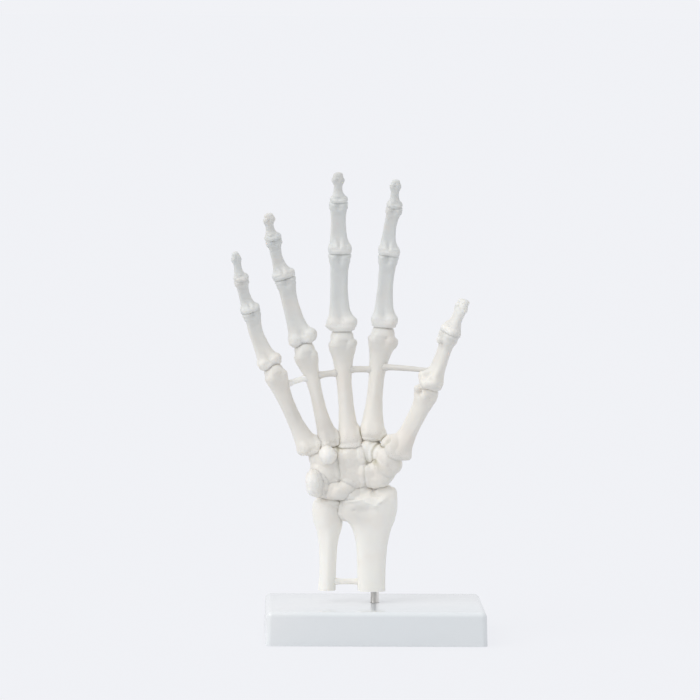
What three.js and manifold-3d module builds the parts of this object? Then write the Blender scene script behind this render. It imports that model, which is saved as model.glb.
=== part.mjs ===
// Life-size skeleton of a right hand, palm towards -Y and thumb towards +X, on a moulded plinth.
// Each bone is its own casting, cemented to its neighbours over short steel pins. Slim tie bars
// hold the metacarpals and the forearm bones apart, and the radius is lifted on and off a post.
// Millimetres and degrees. The origin is the middle of the plinth's underside, with +Z up.

import * as THREE from "three";
import { mergeVertices } from "three/addons/utils/BufferGeometryUtils.js";
import Module from "manifold-3d";

const wasm = await Module();
wasm.setup();

// Driving dimensions

const seam = 0.3; // gap left between two pieces that seat on each other
const finest = 0.06; // detail below this size is dropped from the solids

const plinth = {
  width: 132.5,
  depth: 90,
  height: 20.3,
  cornerRadius: 3.5,
  edgeRadius: 3,
  draft: 0.6,
  wall: 2.6,
  bossRadius: 6.5,
  ribThickness: 2,
};

const post = { diameter: 5, exposed: 7.3, inPlinth: 16, inRadius: 30 };

const pin = { diameter: 1.9, length: 11 };

// Forearm bones: rows of height above the saw cut, width, depth, middle across and middle in depth,
// with the tilt of the row's plane, as the distal end rises towards the thumb.
const radius = {
  rows: [
    { up: 0, width: 16.8, depth: 13, across: -1.9, back: 0, tilt: 0 },
    { up: 14, width: 17.2, depth: 12.8, across: -2.1, back: 0, tilt: 0 },
    { up: 25, width: 18.4, depth: 13.4, across: -2, back: 0.2, tilt: 0 },
    { up: 34, width: 21.4, depth: 15, across: -1.9, back: 0.6, tilt: 1 },
    { up: 41, width: 26.6, depth: 17, across: -2.1, back: 1, tilt: 3 },
    { up: 45, width: 31.6, depth: 18.6, across: -3.7, back: 1.2, tilt: 4 },
    { up: 49, width: 34, depth: 20, across: -4.4, back: 1.2, tilt: 5 },
    { up: 53, width: 33.6, depth: 20.6, across: -4, back: 1.2, tilt: 6 },
    { up: 57, width: 31.2, depth: 20.2, across: -2.8, back: 1, tilt: 6 },
  ],
  rimRise: 5.6,
  styloid: { up: 51, side: 8, size: 0.8, long: 8, wide: 25 },
  ridge: { up: 50, side: 80, size: 1.4, long: 7, wide: 12 }, // on its back
};

const ulna = {
  apart: 29.4, // distance of its shaft from the post's axis
  behind: 2,
  rows: [
    { up: 0, width: 10.6, depth: 10.6, across: 0.6, back: 0, tilt: 0 },
    { up: 12, width: 10.2, depth: 10.4, across: 0.9, back: 0, tilt: 0 },
    { up: 24.6, width: 10.8, depth: 10.6, across: 1.1, back: 0.1, tilt: 0 },
    { up: 32, width: 12.8, depth: 11.4, across: 1.2, back: 0.2, tilt: 0 },
    { up: 36.6, width: 15, depth: 12.4, across: 1.4, back: 0.3, tilt: 0 },
    { up: 41.4, width: 17.6, depth: 14, across: 0.9, back: 0.4, tilt: -2 },
    { up: 45.6, width: 17.8, depth: 15, across: 0.3, back: 0.4, tilt: -4 },
    { up: 50, width: 16.6, depth: 14.6, across: -0.2, back: 0.4, tilt: -5 },
    { up: 52.4, width: 14.8, depth: 13.4, across: -0.6, back: 0.4, tilt: -6 },
  ],
  headRise: 2,
  styloid: { up: 52, side: 120, size: 2, long: 5, wide: 30 },
};

// Carpal bones: full size across, in depth and in height, squareness and lean in the palm's plane.
// Each beds on another one by so many millimetres before the seam is cut, in a direction given by
// its heading towards the thumb and its turn forward to the palm. Taper widens it to the fingers.
// Bumps point across, to the back and up, and swell by a share of the bone. Towards the back every
// one is squarer, so that they close up against each other there.
const carpals = {
  lunate: { size: [16.4, 15, 10.2], square: 2.4, lean: 4, taper: 0, bumps: [] },
  capitate: {
    on: "lunate", heading: 26, forward: -12, bed: 0.8,
    size: [15.8, 18, 26.6], square: 3.6, lean: -10, taper: 0, bumps: [],
  },
  hamate: {
    on: "capitate", heading: -85, forward: 2, bed: 1.7,
    size: [17, 15, 25], square: 2.6, lean: -24, taper: 0.3,
    bumps: [],
  },
  triquetrum: {
    on: "lunate", heading: -67, forward: -11, bed: 1.9,
    size: [11.5, 12.5, 18], square: 2.4, lean: -12, taper: 0.1, bumps: [],
  },
  pisiform: {
    on: "triquetrum", heading: -86, forward: 60, bed: 2.1,
    size: [8.6, 10, 15], square: 2.3, lean: -4, taper: 0, bumps: [],
  },
  scaphoid: {
    on: "capitate", heading: 108, forward: 13, bed: 1.9,
    size: [14.8, 15, 15.8], square: 2.8, lean: -20, taper: 0,
    bumps: [{ towards: [0.5, -0.75, -0.35], swell: 0.14, tight: 7 }], // its tubercle
  },
  trapezoid: {
    on: "capitate", heading: 47, forward: 2, bed: 2.0,
    size: [10, 14, 15.6], square: 2.8, lean: 8, taper: 0.15, bumps: [],
  },
  trapezium: {
    on: "trapezoid", heading: 113, forward: 22, bed: 2.4,
    size: [14.6, 15.8, 19], square: 2.8, lean: -25, taper: 0,
    bumps: [{ towards: [-0.35, -0.85, 0.25], swell: 0.2, tight: 9 }], // its ridge
  },
};
const backSquare = 1.2; // added to the squareness there
const hook = { size: [10.2, 12, 11.6], across: -0.2, back: -9.5, up: 6.4 }; // the hamate's, on its palm side
const lunatePlace = { across: -21.4, back: -1.5, overRim: 3.3 }; // from the post's axis and the radius's last row

// Digits: the carpal that carries each and the direction from it, then its bones from the wrist out.
// lean is towards the thumb, bend towards the palm and roll about the bone's own axis. Widths and
// depths are those of the base, of the slimmest part of the shaft and of the head.
const digits = {
  thumb: {
    on: "trapezium",
    heading: 45,
    forward: 13,
    bed: 1.0,
    bones: [
      {
        kind: "metacarpal", length: 49.3, lean: 26.2, bend: 15, roll: -58,
        base: [17.8, 15.6], shaft: [11.2, 9.8], head: [14.6, 13.4],
      },
      {
        kind: "proximal", length: 35.8, lean: 19.3, bend: 11, roll: -58,
        base: [15.4, 12.6], shaft: [9.2, 7.4], head: [13.4, 10.2],
      },
      {
        kind: "distal", length: 20.9, lean: 22.9, bend: 5, roll: -50,
        base: [12, 9], shaft: [7.6, 5.6], head: [9.4, 5.2],
      },
    ],
  },
  index: {
    on: "trapezoid",
    heading: 12,
    forward: 0,
    bed: -0.4,
    bones: [
      {
        kind: "metacarpal", length: 69.4, lean: 5.1, bend: -2, roll: -6,
        base: [15, 15.5], shaft: [9.3, 9], head: [16.6, 14.8], sway: [-0.2, -0.8, 0.6],
      },
      {
        kind: "proximal", length: 44.7, lean: 3.4, bend: 4, roll: -4,
        base: [15.4, 12.2], shaft: [9.3, 7], head: [11.8, 8.2], sway: [1, 0, 0.5],
      },
      {
        kind: "middle", length: 29.8, lean: 6.8, bend: 9, roll: -3,
        base: [12.4, 9.6], shaft: [7.6, 5.6], head: [10, 6.4], sway: [0.5, -0.9, 0.1],
      },
      {
        kind: "distal", length: 16.5, lean: 2.2, bend: 12, roll: 0,
        base: [7.8, 6.4], shaft: [5, 4], head: [6.6, 4], sway: [0.3, 0.1, 0.3],
      },
    ],
  },
  middle: {
    on: "capitate",
    heading: -9,
    forward: 0,
    bed: 0.2,
    bones: [
      {
        kind: "metacarpal", length: 71.4, lean: -5.2, bend: -2, roll: 0,
        base: [13.4, 16], shaft: [8.9, 9.2], head: [16.4, 15], sway: [0.4, 0.3, 1.2],
      },
      {
        kind: "proximal", length: 47.9, lean: -1.3, bend: 4, roll: 0,
        base: [17, 13], shaft: [10.4, 7.4], head: [13, 8.6], sway: [1, -0.2, 0.3],
      },
      {
        kind: "middle", length: 31.8, lean: -1.5, bend: 9, roll: 0,
        base: [13.6, 10], shaft: [9, 6], head: [11.4, 6.8], sway: [0.6, -0.1, 0.1],
      },
      {
        kind: "distal", length: 17.6, lean: -0.7, bend: 12, roll: 0,
        base: [9, 7], shaft: [5.1, 4.2], head: [7.2, 4.2], sway: [0.4, -0.1, -0.1],
      },
    ],
  },
  ring: {
    on: "hamate",
    heading: 4,
    forward: 0,
    bed: 1.0,
    bones: [
      {
        kind: "metacarpal", length: 64.7, lean: -13.7, bend: -1, roll: 6,
        base: [12.4, 13.5], shaft: [7.6, 8.4], head: [14.4, 13.4], sway: [0.4, -0.3, -1.2],
      },
      {
        kind: "proximal", length: 42.7, lean: -16.7, bend: 4, roll: 6,
        base: [16.8, 12], shaft: [9.8, 7], head: [12.2, 8], sway: [-0.4, -1.5, -0.5],
      },
      {
        kind: "middle", length: 25.0, lean: -17.1, bend: 9, roll: 6,
        base: [13.4, 9.4], shaft: [6.8, 5.4], head: [10, 6.2], sway: [-0.5, -1.3, -0.3],
      },
      {
        kind: "distal", length: 15.9, lean: -10.7, bend: 12, roll: 4,
        base: [8.4, 6.4], shaft: [5.1, 4], head: [6.9, 4], sway: [-0.6, -1.2, -0.6],
      },
    ],
  },
  little: {
    on: "hamate",
    heading: -52,
    forward: 2,
    bed: 0.1,
    bones: [
      {
        kind: "metacarpal", length: 58.5, lean: -24.9, bend: 1, roll: 12,
        base: [14.4, 12.5], shaft: [8.9, 8], head: [13.6, 12.4], sway: [-0.1, -1, -0.4],
      },
      {
        kind: "proximal", length: 36.8, lean: -22.3, bend: 5, roll: 12,
        base: [14.4, 11], shaft: [8.6, 6], head: [11, 7.2], sway: [-0.8, -1.6, 0.2],
      },
      {
        kind: "middle", length: 20.6, lean: -17.2, bend: 10, roll: 10,
        base: [10.8, 8.2], shaft: [6.7, 4.9], head: [9.2, 5.8], sway: [0.1, -0.5, 0.1],
      },
      {
        kind: "distal", length: 17.4, lean: -10.5, bend: 12, roll: 8,
        base: [7.2, 6], shaft: [4.8, 3.8], head: [5.7, 3.8], sway: [0.2, -0.6, -0.6],
      },
    ],
  },
};
const socketDepth = { metacarpal: 0.9, proximal: 0.8, middle: 0.7 }; // how far each kind's head sinks in

// Tie bars: the two bones that each joins, how far along each it meets the shaft, and its radii.
const ties = {
  tie_little_ring: { from: ["little_metacarpal", 0.74], to: ["ring_metacarpal", 0.656], radii: [1.5, 1.8] },
  tie_ring_middle: { from: ["ring_metacarpal", 0.654], to: ["middle_metacarpal", 0.617], radii: [1.9, 1.9] },
  tie_middle_index: { from: ["middle_metacarpal", 0.637], to: ["index_metacarpal", 0.595], radii: [1.9, 1.9] },
  tie_index_thumb: { from: ["index_metacarpal", 0.621], to: ["thumb_proximal", 0.24], radii: [1.9, 1.4] },
};
const tie = { seat: 2.2, rise: 0.8, forearmHeight: 5.4, forearmRadius: 1.75 };

// How finely the castings are faceted

const facets = {
  phalanxSides: 10,
  metacarpalSides: 12,
  forearmSides: 16,
  pebbleSides: 12,
  pebbleRings: 8,
  tieSides: 8,
  tieRings: 4,
  pinSides: 6,
  postSides: 16,
  cornerSteps: 3,
};

// Materials

const bonePlastic = new THREE.MeshStandardMaterial({ color: 0xe9e7de, roughness: 0.5, metalness: 0 });
const plinthPlastic = new THREE.MeshStandardMaterial({ color: 0xe4eaec, roughness: 0.16, metalness: 0 });
const steel = new THREE.MeshStandardMaterial({ color: 0xc4c2c0, roughness: 0.25, metalness: 1 });

// Small helpers

const mix = (a, b, share) => a + (b - a) * share;
const radians = THREE.MathUtils.degToRad;
const power = (value, exponent) => Math.sign(value) * Math.abs(value) ** exponent;
const bell = (distance, spread) => Math.exp(-((distance / spread) ** 2));
const vector = (x, y, z) => new THREE.Vector3(x, y, z);
const levelPlinthTop = plinth.height;
const levelCut = plinth.height + post.exposed;

// The smooth curve through a column of rows, without overshoot.
function along(rows, key, z) {
  const last = rows.length - 1;
  if (z <= rows[0].z) return rows[0][key];
  if (z >= rows[last].z) return rows[last][key];
  const i = rows.findIndex((row) => row.z > z) - 1;
  const slope = (k) => (rows[k + 1][key] - rows[k][key]) / (rows[k + 1].z - rows[k].z);
  const tangent = (k) => {
    if (k === 0) return slope(0);
    if (k === last) return slope(last - 1);
    const before = slope(k - 1);
    const after = slope(k);
    return before * after > 0 ? (2 * before * after) / (before + after) : 0;
  };
  const span = rows[i + 1].z - rows[i].z;
  const t = (z - rows[i].z) / span;
  return (
    (1 + 2 * t) * (1 - t) ** 2 * rows[i][key] +
    t * (1 - t) ** 2 * span * tangent(i) +
    t * t * (3 - 2 * t) * rows[i + 1][key] +
    t * t * (t - 1) * span * tangent(i + 1)
  );
}

// A closed skin over rings of points, each end drawn to one point.
function skin(rings, first, last) {
  const sides = rings[0].length;
  const points = [first, ...rings.flat(), last];
  const faces = [];
  const at = (ring, side) => 1 + ring * sides + (side % sides);
  for (let side = 0; side < sides; side++) {
    faces.push(0, at(0, side + 1), at(0, side));
    faces.push(points.length - 1, at(rings.length - 1, side), at(rings.length - 1, side + 1));
    for (let ring = 0; ring + 1 < rings.length; ring++) {
      faces.push(at(ring, side), at(ring, side + 1), at(ring + 1, side + 1));
      faces.push(at(ring, side), at(ring + 1, side + 1), at(ring + 1, side));
    }
  }
  return new THREE.BufferGeometry().setFromPoints(points).setIndex(faces);
}

// Long bones
//
// A bone's form is a list of rows from its base (z = 0) to the middle of its head. Each row has the
// half width w, the depths d to the back and p to the palm, their squareness n and m, the shifts x
// and y and the tilt. Lumps are tubercles and condyles raised on it, and its ends are domed by caps.

function bonePoint(form, z, angle, share, rise) {
  const back = Math.sin(angle) > 0;
  const depth = along(form.rows, back ? "d" : "p", z);
  const square = 2 / along(form.rows, back ? "n" : "m", z);
  const halfWidth = along(form.rows, "w", z);
  const cap = (exponent) => (1 - share ** exponent) ** (1 / exponent);
  let x = halfWidth * power(Math.cos(angle), square) * cap(form.capWidth);
  let y = depth * power(Math.sin(angle), square) * cap(form.capDepth);
  for (const lump of form.lumps) {
    const turn = Math.atan2(Math.sin(angle - radians(lump.side)), Math.cos(angle - radians(lump.side)));
    const push = lump.size * bell(z - lump.z, lump.long) * bell(turn, radians(lump.wide)) * (1 - share);
    x += push * Math.cos(angle);
    y += push * Math.sin(angle);
  }
  let up = z + rise * share;
  if (form.groove) {
    const onPulley = THREE.MathUtils.smoothstep(up, form.pulley.z - form.pulley.radius, form.pulley.z);
    const dent = form.groove * bell(x, halfWidth * 0.36) * onPulley;
    const reach = Math.hypot(y - form.pulley.y, up - form.pulley.z) || 1;
    y -= (dent * (y - form.pulley.y)) / reach;
    up -= (dent * (up - form.pulley.z)) / reach;
  }
  up += x * Math.tan(radians(along(form.rows, "tilt", z)));
  return vector(x + along(form.rows, "x", z), y + along(form.rows, "y", z), up);
}

function boneSkin(form, sides) {
  const { rows } = form;
  const top = rows[rows.length - 1].z;
  const ring = (z, share, rise) =>
    Array.from({ length: sides }, (_, side) => bonePoint(form, z, (side / sides) * 2 * Math.PI, share, rise));
  const rings = [
    ...form.baseShares.map((share) => ring(0, share, form.baseRise)),
    ...rows.map((row) => ring(row.z, 0, 0)),
    ...form.headShares.map((share) => ring(top, share, form.headRise)),
  ];
  return skin(rings, bonePoint(form, 0, 0, 1, form.baseRise), bonePoint(form, top, 0, 1, form.headRise));
}

// The rows shifted towards the thumb, by so much each at the base, at mid shaft and at the head.
function swayed(rows, [base, middle, head] = [0, 0, 0]) {
  const top = rows[rows.length - 1].z;
  return rows.map((row) => {
    const off = (2 * row.z) / top - 1;
    const end = THREE.MathUtils.smoothstep(Math.abs(off), 0.25, 0.95);
    return { ...row, x: mix(middle, off < 0 ? base : head, end) };
  });
}

// One row of a bone whose sizes pass from its base through its shaft to its head.
function row(z, width, back, palm, squareBack, squarePalm, bow = 0) {
  return { z, w: width / 2, d: back, p: palm, n: squareBack, m: squarePalm, x: 0, y: bow, tilt: 0 };
}

function metacarpalForm({ length, base, shaft, head, sway }) {
  const ball = head[1] / 2;
  const z = length - ball;
  const [bw, bd] = base;
  const [sw, sd] = shaft;
  const [hw, hd] = head;
  const bow = 0.9;
  return {
    rows: swayed([
      row(0, bw * 0.9, bd * 0.46, bd * 0.42, 2.8, 2.6),
      row(z * 0.045, bw, bd * 0.5, bd * 0.48, 2.8, 2.6),
      row(z * 0.1, bw * 0.95, bd * 0.48, bd * 0.46, 2.6, 2.4),
      row(z * 0.17, mix(bw, sw, 0.4), mix(bd, sd, 0.5) * 0.5, mix(bd, sd, 0.5) * 0.48, 2.5, 2.1, bow * 0.4),
      row(z * 0.27, mix(bw, sw, 0.72), mix(bd, sd, 0.8) * 0.5, mix(bd, sd, 0.85) * 0.5, 2.4, 2, bow * 0.8),
      row(z * 0.39, mix(bw, sw, 0.94), sd * 0.48, sd * 0.5, 2.3, 2, bow),
      row(z * 0.55, sw, sd * 0.46, sd * 0.52, 2.3, 2, bow),
      row(z * 0.66, mix(sw, hw, 0.12), sd * 0.47, sd * 0.52, 2.3, 2, bow * 0.9),
      row(z * 0.76, mix(sw, hw, 0.32), sd * 0.5, sd * 0.52, 2.3, 2.1, bow * 0.6),
      row(z * 0.84, mix(sw, hw, 0.6), mix(sd, hd, 0.25) * 0.5, mix(sd, hd, 0.3) * 0.52, 2.3, 2.3, bow * 0.3),
      row(z * 0.91, mix(sw, hw, 0.94), mix(sd, hd, 0.55) * 0.48, mix(sd, hd, 0.7) * 0.54, 2.3, 2.6),
      row(z * 0.96, mix(sw, hw, 0.96), mix(sd, hd, 0.8) * 0.48, mix(sd, hd, 0.95) * 0.54, 2.2, 2.7),
      row(z, hw * 0.88, hd * 0.48, hd * 0.52, 2.1, 2.4),
    ], sway),
    lumps: [
      { z: z * 0.95, side: 232, size: 0.8, long: 3.2, wide: 20 },
      { z: z * 0.95, side: 308, size: 0.8, long: 3.2, wide: 20 },
      { z: z * 0.94, side: 25, size: 0.4, long: 3, wide: 22 },
      { z: z * 0.94, side: 155, size: 0.4, long: 3, wide: 22 },
    ],
    capWidth: 2.2,
    capDepth: 2,
    baseShares: [0.75],
    baseRise: -0.6,
    headShares: [0.42, 0.75, 0.93],
    headRise: ball,
    ball: { z, radius: ball },
  };
}

function phalanxForm({ length, base, shaft, head, sway }) {
  const pulley = head[1] / 2;
  const z = length - pulley;
  const [bw, bd] = base;
  const [sw, sd] = shaft;
  const [hw, hd] = head;
  const bow = sd * 0.09;
  return {
    rows: swayed([
      row(0, bw * 0.86, bd * 0.45, bd * 0.44, 2.2, 2.5),
      row(z * 0.05, bw * 0.96, bd * 0.49, bd * 0.5, 2.2, 2.6),
      row(z * 0.11, bw, bd * 0.5, bd * 0.52, 2.1, 2.7),
      row(z * 0.19, mix(bw, sw, 0.42), mix(bd, sd, 0.3) * 0.5, mix(bd, sd, 0.5) * 0.48, 2.1, 2.9, bow * 0.3),
      row(z * 0.3, mix(bw, sw, 0.74), mix(bd, sd, 0.65) * 0.5, mix(bd, sd, 0.85) * 0.44, 2.1, 3, bow * 0.7),
      row(z * 0.44, mix(bw, sw, 0.9), sd * 0.52, sd * 0.42, 2.1, 3.1, bow),
      row(z * 0.6, sw, sd * 0.5, sd * 0.42, 2.1, 3.1, bow),
      row(z * 0.76, mix(sw, hw, 0.14), sd * 0.47, sd * 0.43, 2.2, 3, bow * 0.7),
      row(z * 0.88, mix(sw, hw, 0.62), mix(sd, hd, 0.3) * 0.46, mix(sd, hd, 0.4) * 0.5, 2.3, 2.8, bow * 0.2),
      row(z * 0.95, mix(sw, hw, 0.95), mix(sd, hd, 0.7) * 0.47, mix(sd, hd, 0.85) * 0.54, 2.4, 2.8),
      row(z, hw * 0.97, hd * 0.48, hd * 0.55, 2.4, 2.8),
    ], sway),
    lumps: [
      { z: z * 0.1, side: 222, size: bw * 0.045, long: length * 0.06, wide: 22 },
      { z: z * 0.1, side: 318, size: bw * 0.045, long: length * 0.06, wide: 22 },
      { z: z * 0.13, side: 270, size: -bw * 0.03, long: length * 0.09, wide: 26 },
    ],
    capWidth: 3.6,
    capDepth: 2,
    baseShares: [0.7],
    baseRise: -0.5,
    headShares: [0.5, 0.88],
    headRise: pulley,
    groove: hd * 0.11,
    pulley: { z, y: -hd * 0.03, radius: pulley },
    ball: { z, radius: pulley },
  };
}

function fingertipForm({ length, base, shaft, head, sway }) {
  const [bw, bd] = base;
  const [sw, sd] = shaft;
  const [tw, td] = head;
  const z = length * 0.88;
  return {
    rows: swayed([
      row(0, bw * 0.84, bd * 0.45, bd * 0.44, 2.2, 2.6),
      row(length * 0.05, bw * 0.97, bd * 0.5, bd * 0.5, 2.2, 2.7),
      row(length * 0.1, bw, bd * 0.5, bd * 0.5, 2.2, 2.7),
      row(length * 0.18, mix(bw, sw, 0.32), mix(bd, sd, 0.35) * 0.5, mix(bd, sd, 0.3) * 0.5, 2.2, 2.6),
      row(length * 0.28, mix(bw, sw, 0.72), mix(bd, sd, 0.75) * 0.5, mix(bd, sd, 0.75) * 0.5, 2.2, 2.4),
      row(length * 0.4, mix(bw, sw, 0.97), sd * 0.5, sd * 0.5, 2.1, 2.2),
      row(length * 0.53, sw, sd * 0.48, sd * 0.5, 2.1, 2.2),
      row(length * 0.63, mix(sw, tw, 0.7), mix(sd, td, 0.5) * 0.45, mix(sd, td, 0.5) * 0.52, 2.2, 2.3),
      row(length * 0.71, tw, td * 0.42, td * 0.54, 2.3, 2.4),
      row(length * 0.8, tw * 0.95, td * 0.4, td * 0.54, 2.4, 2.4),
      row(z, tw * 0.8, td * 0.38, td * 0.5, 2.4, 2.3),
    ], sway),
    lumps: [
      { z: length * 0.73, side: 180, size: tw * 0.06, long: length * 0.05, wide: 34 },
      { z: length * 0.7, side: 0, size: tw * 0.05, long: length * 0.05, wide: 30 },
      { z: length * 0.76, side: 270, size: td * 0.13, long: length * 0.07, wide: 60 },
    ],
    capWidth: 2.3,
    capDepth: 2.2,
    baseShares: [0.7],
    baseRise: -0.5,
    headShares: [0.6, 0.9],
    headRise: length - z,
  };
}

function forearmForm(rows, capWidth, headRise, lumps) {
  return {
    rows: rows.map(({ up, width, depth, across, back, tilt }) => ({
      z: up, w: width / 2, d: depth * 0.5, p: depth * 0.5, n: 2.3, m: 2.6, x: across, y: back, tilt,
    })),
    lumps: lumps.map(({ up, ...lump }) => ({ z: up, ...lump })),
    capWidth,
    capDepth: 2.4,
    baseShares: [0.86],
    baseRise: 0,
    headShares: [0.55, 0.85],
    headRise,
  };
}

// Carpal bones

// How far a carpal bone reaches from its middle, as a superellipsoid that widens to the fingers.
function pebbleReach({ size, square, lean, taper }, direction) {
  const local = direction.clone().applyAxisAngle(vector(0, 1, 0), -radians(lean));
  const [x, y, z] = [local.x, local.y, local.z].map((part, axis) => Math.abs(part / (size[axis] / 2)));
  const squared = square + backSquare * THREE.MathUtils.smoothstep(local.y, 0, 0.5);
  let reach = size[2] / 2;
  for (let round = 0; round < 12; round++) {
    const widening = 1 + (taper * reach * local.z) / (size[2] / 2);
    reach = ((x / widening) ** squared + y ** squared + z ** squared) ** (-1 / squared);
  }
  return reach;
}

function pebbleSkin(carpal) {
  const { pebbleSides: sides, pebbleRings: count } = facets;
  const turned = (direction, angle) => direction.clone().applyAxisAngle(vector(0, 1, 0), radians(angle));
  const place = (polar, angle) => {
    const local = vector(
      Math.sin(polar) * Math.cos(angle),
      Math.sin(polar) * Math.sin(angle),
      -Math.cos(polar),
    );
    const direction = turned(local, carpal.lean);
    let swell = 1;
    for (const bump of carpal.bumps) {
      const near = direction.dot(vector(...bump.towards).normalize());
      swell += bump.swell * Math.exp((near - 1) * bump.tight);
    }
    return local.multiplyScalar(pebbleReach(carpal, direction) * swell);
  };
  const rings = Array.from({ length: count }, (_, ring) =>
    Array.from({ length: sides }, (_, side) =>
      place((Math.PI * (ring + 1)) / (count + 1), (side / sides) * 2 * Math.PI),
    ),
  );
  return skin(rings, place(0, 0), place(Math.PI, 0));
}

// The direction that leads towards the thumb by one angle and forward to the palm by the other.
function course(towardsThumb, forward = 0) {
  const flat = Math.cos(radians(forward));
  return vector(
    flat * Math.sin(radians(towardsThumb)),
    -Math.sin(radians(forward)),
    flat * Math.cos(radians(towardsThumb)),
  );
}

const carpalCentres = {
  lunate: vector(lunatePlace.across, lunatePlace.back, levelCut + radius.rows.at(-1).up + lunatePlace.overRim),
};
for (const [name, carpal] of Object.entries(carpals)) {
  if (!carpal.on) continue;
  const way = course(carpal.heading, carpal.forward);
  const gap = pebbleReach(carpals[carpal.on], way) + pebbleReach(carpal, way.clone().negate()) - carpal.bed;
  carpalCentres[name] = carpalCentres[carpal.on].clone().addScaledVector(way, gap);
}

// Pieces
//
// Every piece keeps its own frame, and its solid is worked on where it stands. A piece that is added
// is cut back from all that were added before it, so what fits into others is added first.

const pieces = [];

function solidOf(geometry) {
  const bare = geometry.clone();
  for (const name of Object.keys(bare.attributes)) if (name !== "position") bare.deleteAttribute(name);
  const merged = mergeVertices(bare, 1e-4);
  return new wasm.Manifold(
    new wasm.Mesh({
      numProp: 3,
      vertProperties: new Float32Array(merged.attributes.position.array),
      triVerts: new Uint32Array(merged.index.array),
    }),
  );
}

function geometryOf(solid) {
  const mesh = solid.getMesh();
  return new THREE.BufferGeometry()
    .setAttribute("position", new THREE.BufferAttribute(new Float32Array(mesh.vertProperties), 3))
    .setIndex(new THREE.BufferAttribute(new Uint32Array(mesh.triVerts), 1));
}

// The geometry moved out by the seam all over, to cut the seat of a neighbour with.
function grown(geometry, amount = seam) {
  const bare = geometry.clone();
  for (const name of Object.keys(bare.attributes)) if (name !== "position") bare.deleteAttribute(name);
  const merged = mergeVertices(bare, 1e-4);
  merged.computeVertexNormals();
  const { position, normal } = merged.attributes;
  for (let i = 0; i < position.count; i++) {
    const point = vector().fromBufferAttribute(position, i);
    point.addScaledVector(vector().fromBufferAttribute(normal, i), amount);
    position.setXYZ(i, point.x, point.y, point.z);
  }
  return merged;
}

function joined(geometries) {
  if (geometries.length === 1) return geometries[0];
  return geometryOf(geometries.map(solidOf).reduce((whole, solid) => whole.add(solid)));
}

function add(name, geometry, frame, material, cutterGeometry = grown(geometry)) {
  frame.updateMatrixWorld(true);
  let solid = solidOf(geometry.clone().applyMatrix4(frame.matrixWorld));
  const cutter = solidOf(cutterGeometry.clone().applyMatrix4(frame.matrixWorld));
  for (const earlier of pieces) {
    if (solid.intersect(earlier.cutter).volume() > 0) solid = solid.subtract(earlier.cutter);
  }
  const parts = solid.simplify(finest).decompose().sort((a, b) => b.volume() - a.volume());
  pieces.push({ name, frame, material, solid: parts[0], cutter });
}

function frameAt(position, { lean = 0, bend = 0, roll = 0 } = {}) {
  const frame = new THREE.Object3D();
  frame.position.copy(position);
  frame.rotation.set(radians(bend), radians(lean), radians(roll), "YXZ");
  return frame;
}

// Digits, laid out from the wrist outwards

const axisOf = (bone) => vector(0, 0, 1).applyEuler(
  new THREE.Euler(radians(bone.bend), radians(bone.lean), radians(bone.roll), "YXZ"),
);

const longBones = {};
const joints = [];
for (const [digit, { on, heading, forward, bed, bones }] of Object.entries(digits)) {
  const way = course(heading, forward);
  let start = carpalCentres[on].clone().addScaledVector(way, pebbleReach(carpals[on], way) - bed);
  joints.push({ name: `${digit}_wrist_pin`, at: start.clone(), axis: axisOf(bones[0]) });
  for (const bone of bones) {
    const name = `${digit}_${bone.kind}`;
    const form =
      bone.kind === "metacarpal" ? metacarpalForm(bone)
      : bone.kind === "distal" ? fingertipForm(bone)
      : phalanxForm(bone);
    longBones[name] = { bone, form, start: start.clone(), axis: axisOf(bone) };
    const next = bones[bones.indexOf(bone) + 1];
    if (!next) continue;
    const centre = start.clone().addScaledVector(axisOf(bone), form.ball.z);
    const rim = form.ball.radius - socketDepth[bone.kind];
    start = centre.clone().addScaledVector(axisOf(next), rim);
    joints.push({ name: `${digit}_${next.kind}_pin`, at: start.clone(), axis: axisOf(next) });
  }
}

// Pins and tie bars come first, as the bones are bored for them.

function rodGeometry(diameter, length, sides) {
  return new THREE.CylinderGeometry(diameter / 2, diameter / 2, length, sides).rotateX(Math.PI / 2);
}

function addPin(name, at, axis) {
  const frame = new THREE.Object3D();
  frame.position.copy(at);
  frame.quaternion.setFromUnitVectors(vector(0, 0, 1), axis);
  const bore = rodGeometry(pin.diameter + 2 * seam, pin.length + 2 * seam, facets.pinSides);
  add(name, rodGeometry(pin.diameter, pin.length, facets.pinSides), frame, steel, bore);
}

for (const joint of joints) addPin(joint.name, joint.at, joint.axis);

function barGeometry(from, to, radii, rise) {
  const middle = from.clone().lerp(to, 0.5).add(vector(0, 0, rise));
  const path = new THREE.QuadraticBezierCurve3(from, middle, to);
  const { tieSides: sides, tieRings: count } = facets;
  const up = vector(0, 0, 1);
  const rings = Array.from({ length: count }, (_, ring) => {
    const t = ring / (count - 1);
    const centre = path.getPoint(t);
    const back = path.getTangent(t).cross(up).normalize();
    const over = path.getTangent(t).cross(back).normalize();
    return Array.from({ length: sides }, (_, side) => {
      const angle = (side / sides) * 2 * Math.PI;
      return centre
        .clone()
        .addScaledVector(back, Math.cos(angle) * mix(radii[0], radii[1], t))
        .addScaledVector(over, Math.sin(angle) * mix(radii[0], radii[1], t));
    });
  });
  return skin(rings, from, to);
}

for (const [name, { from, to, radii }] of Object.entries(ties)) {
  const [start, end] = [from, to].map(([bone, share]) => {
    const { start: base, axis, form } = longBones[bone];
    const z = share * (form.ball.z + form.ball.radius);
    return { point: base.clone().addScaledVector(axis, z), half: along(form.rows, "w", z) };
  });
  const towards = end.point.clone().sub(start.point).normalize();
  const first = start.point.clone().addScaledVector(towards, start.half - tie.seat);
  const last = end.point.clone().addScaledVector(towards, tie.seat - end.half);
  add(name, barGeometry(first, last, radii, tie.rise), new THREE.Object3D(), bonePlastic);
}

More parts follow.
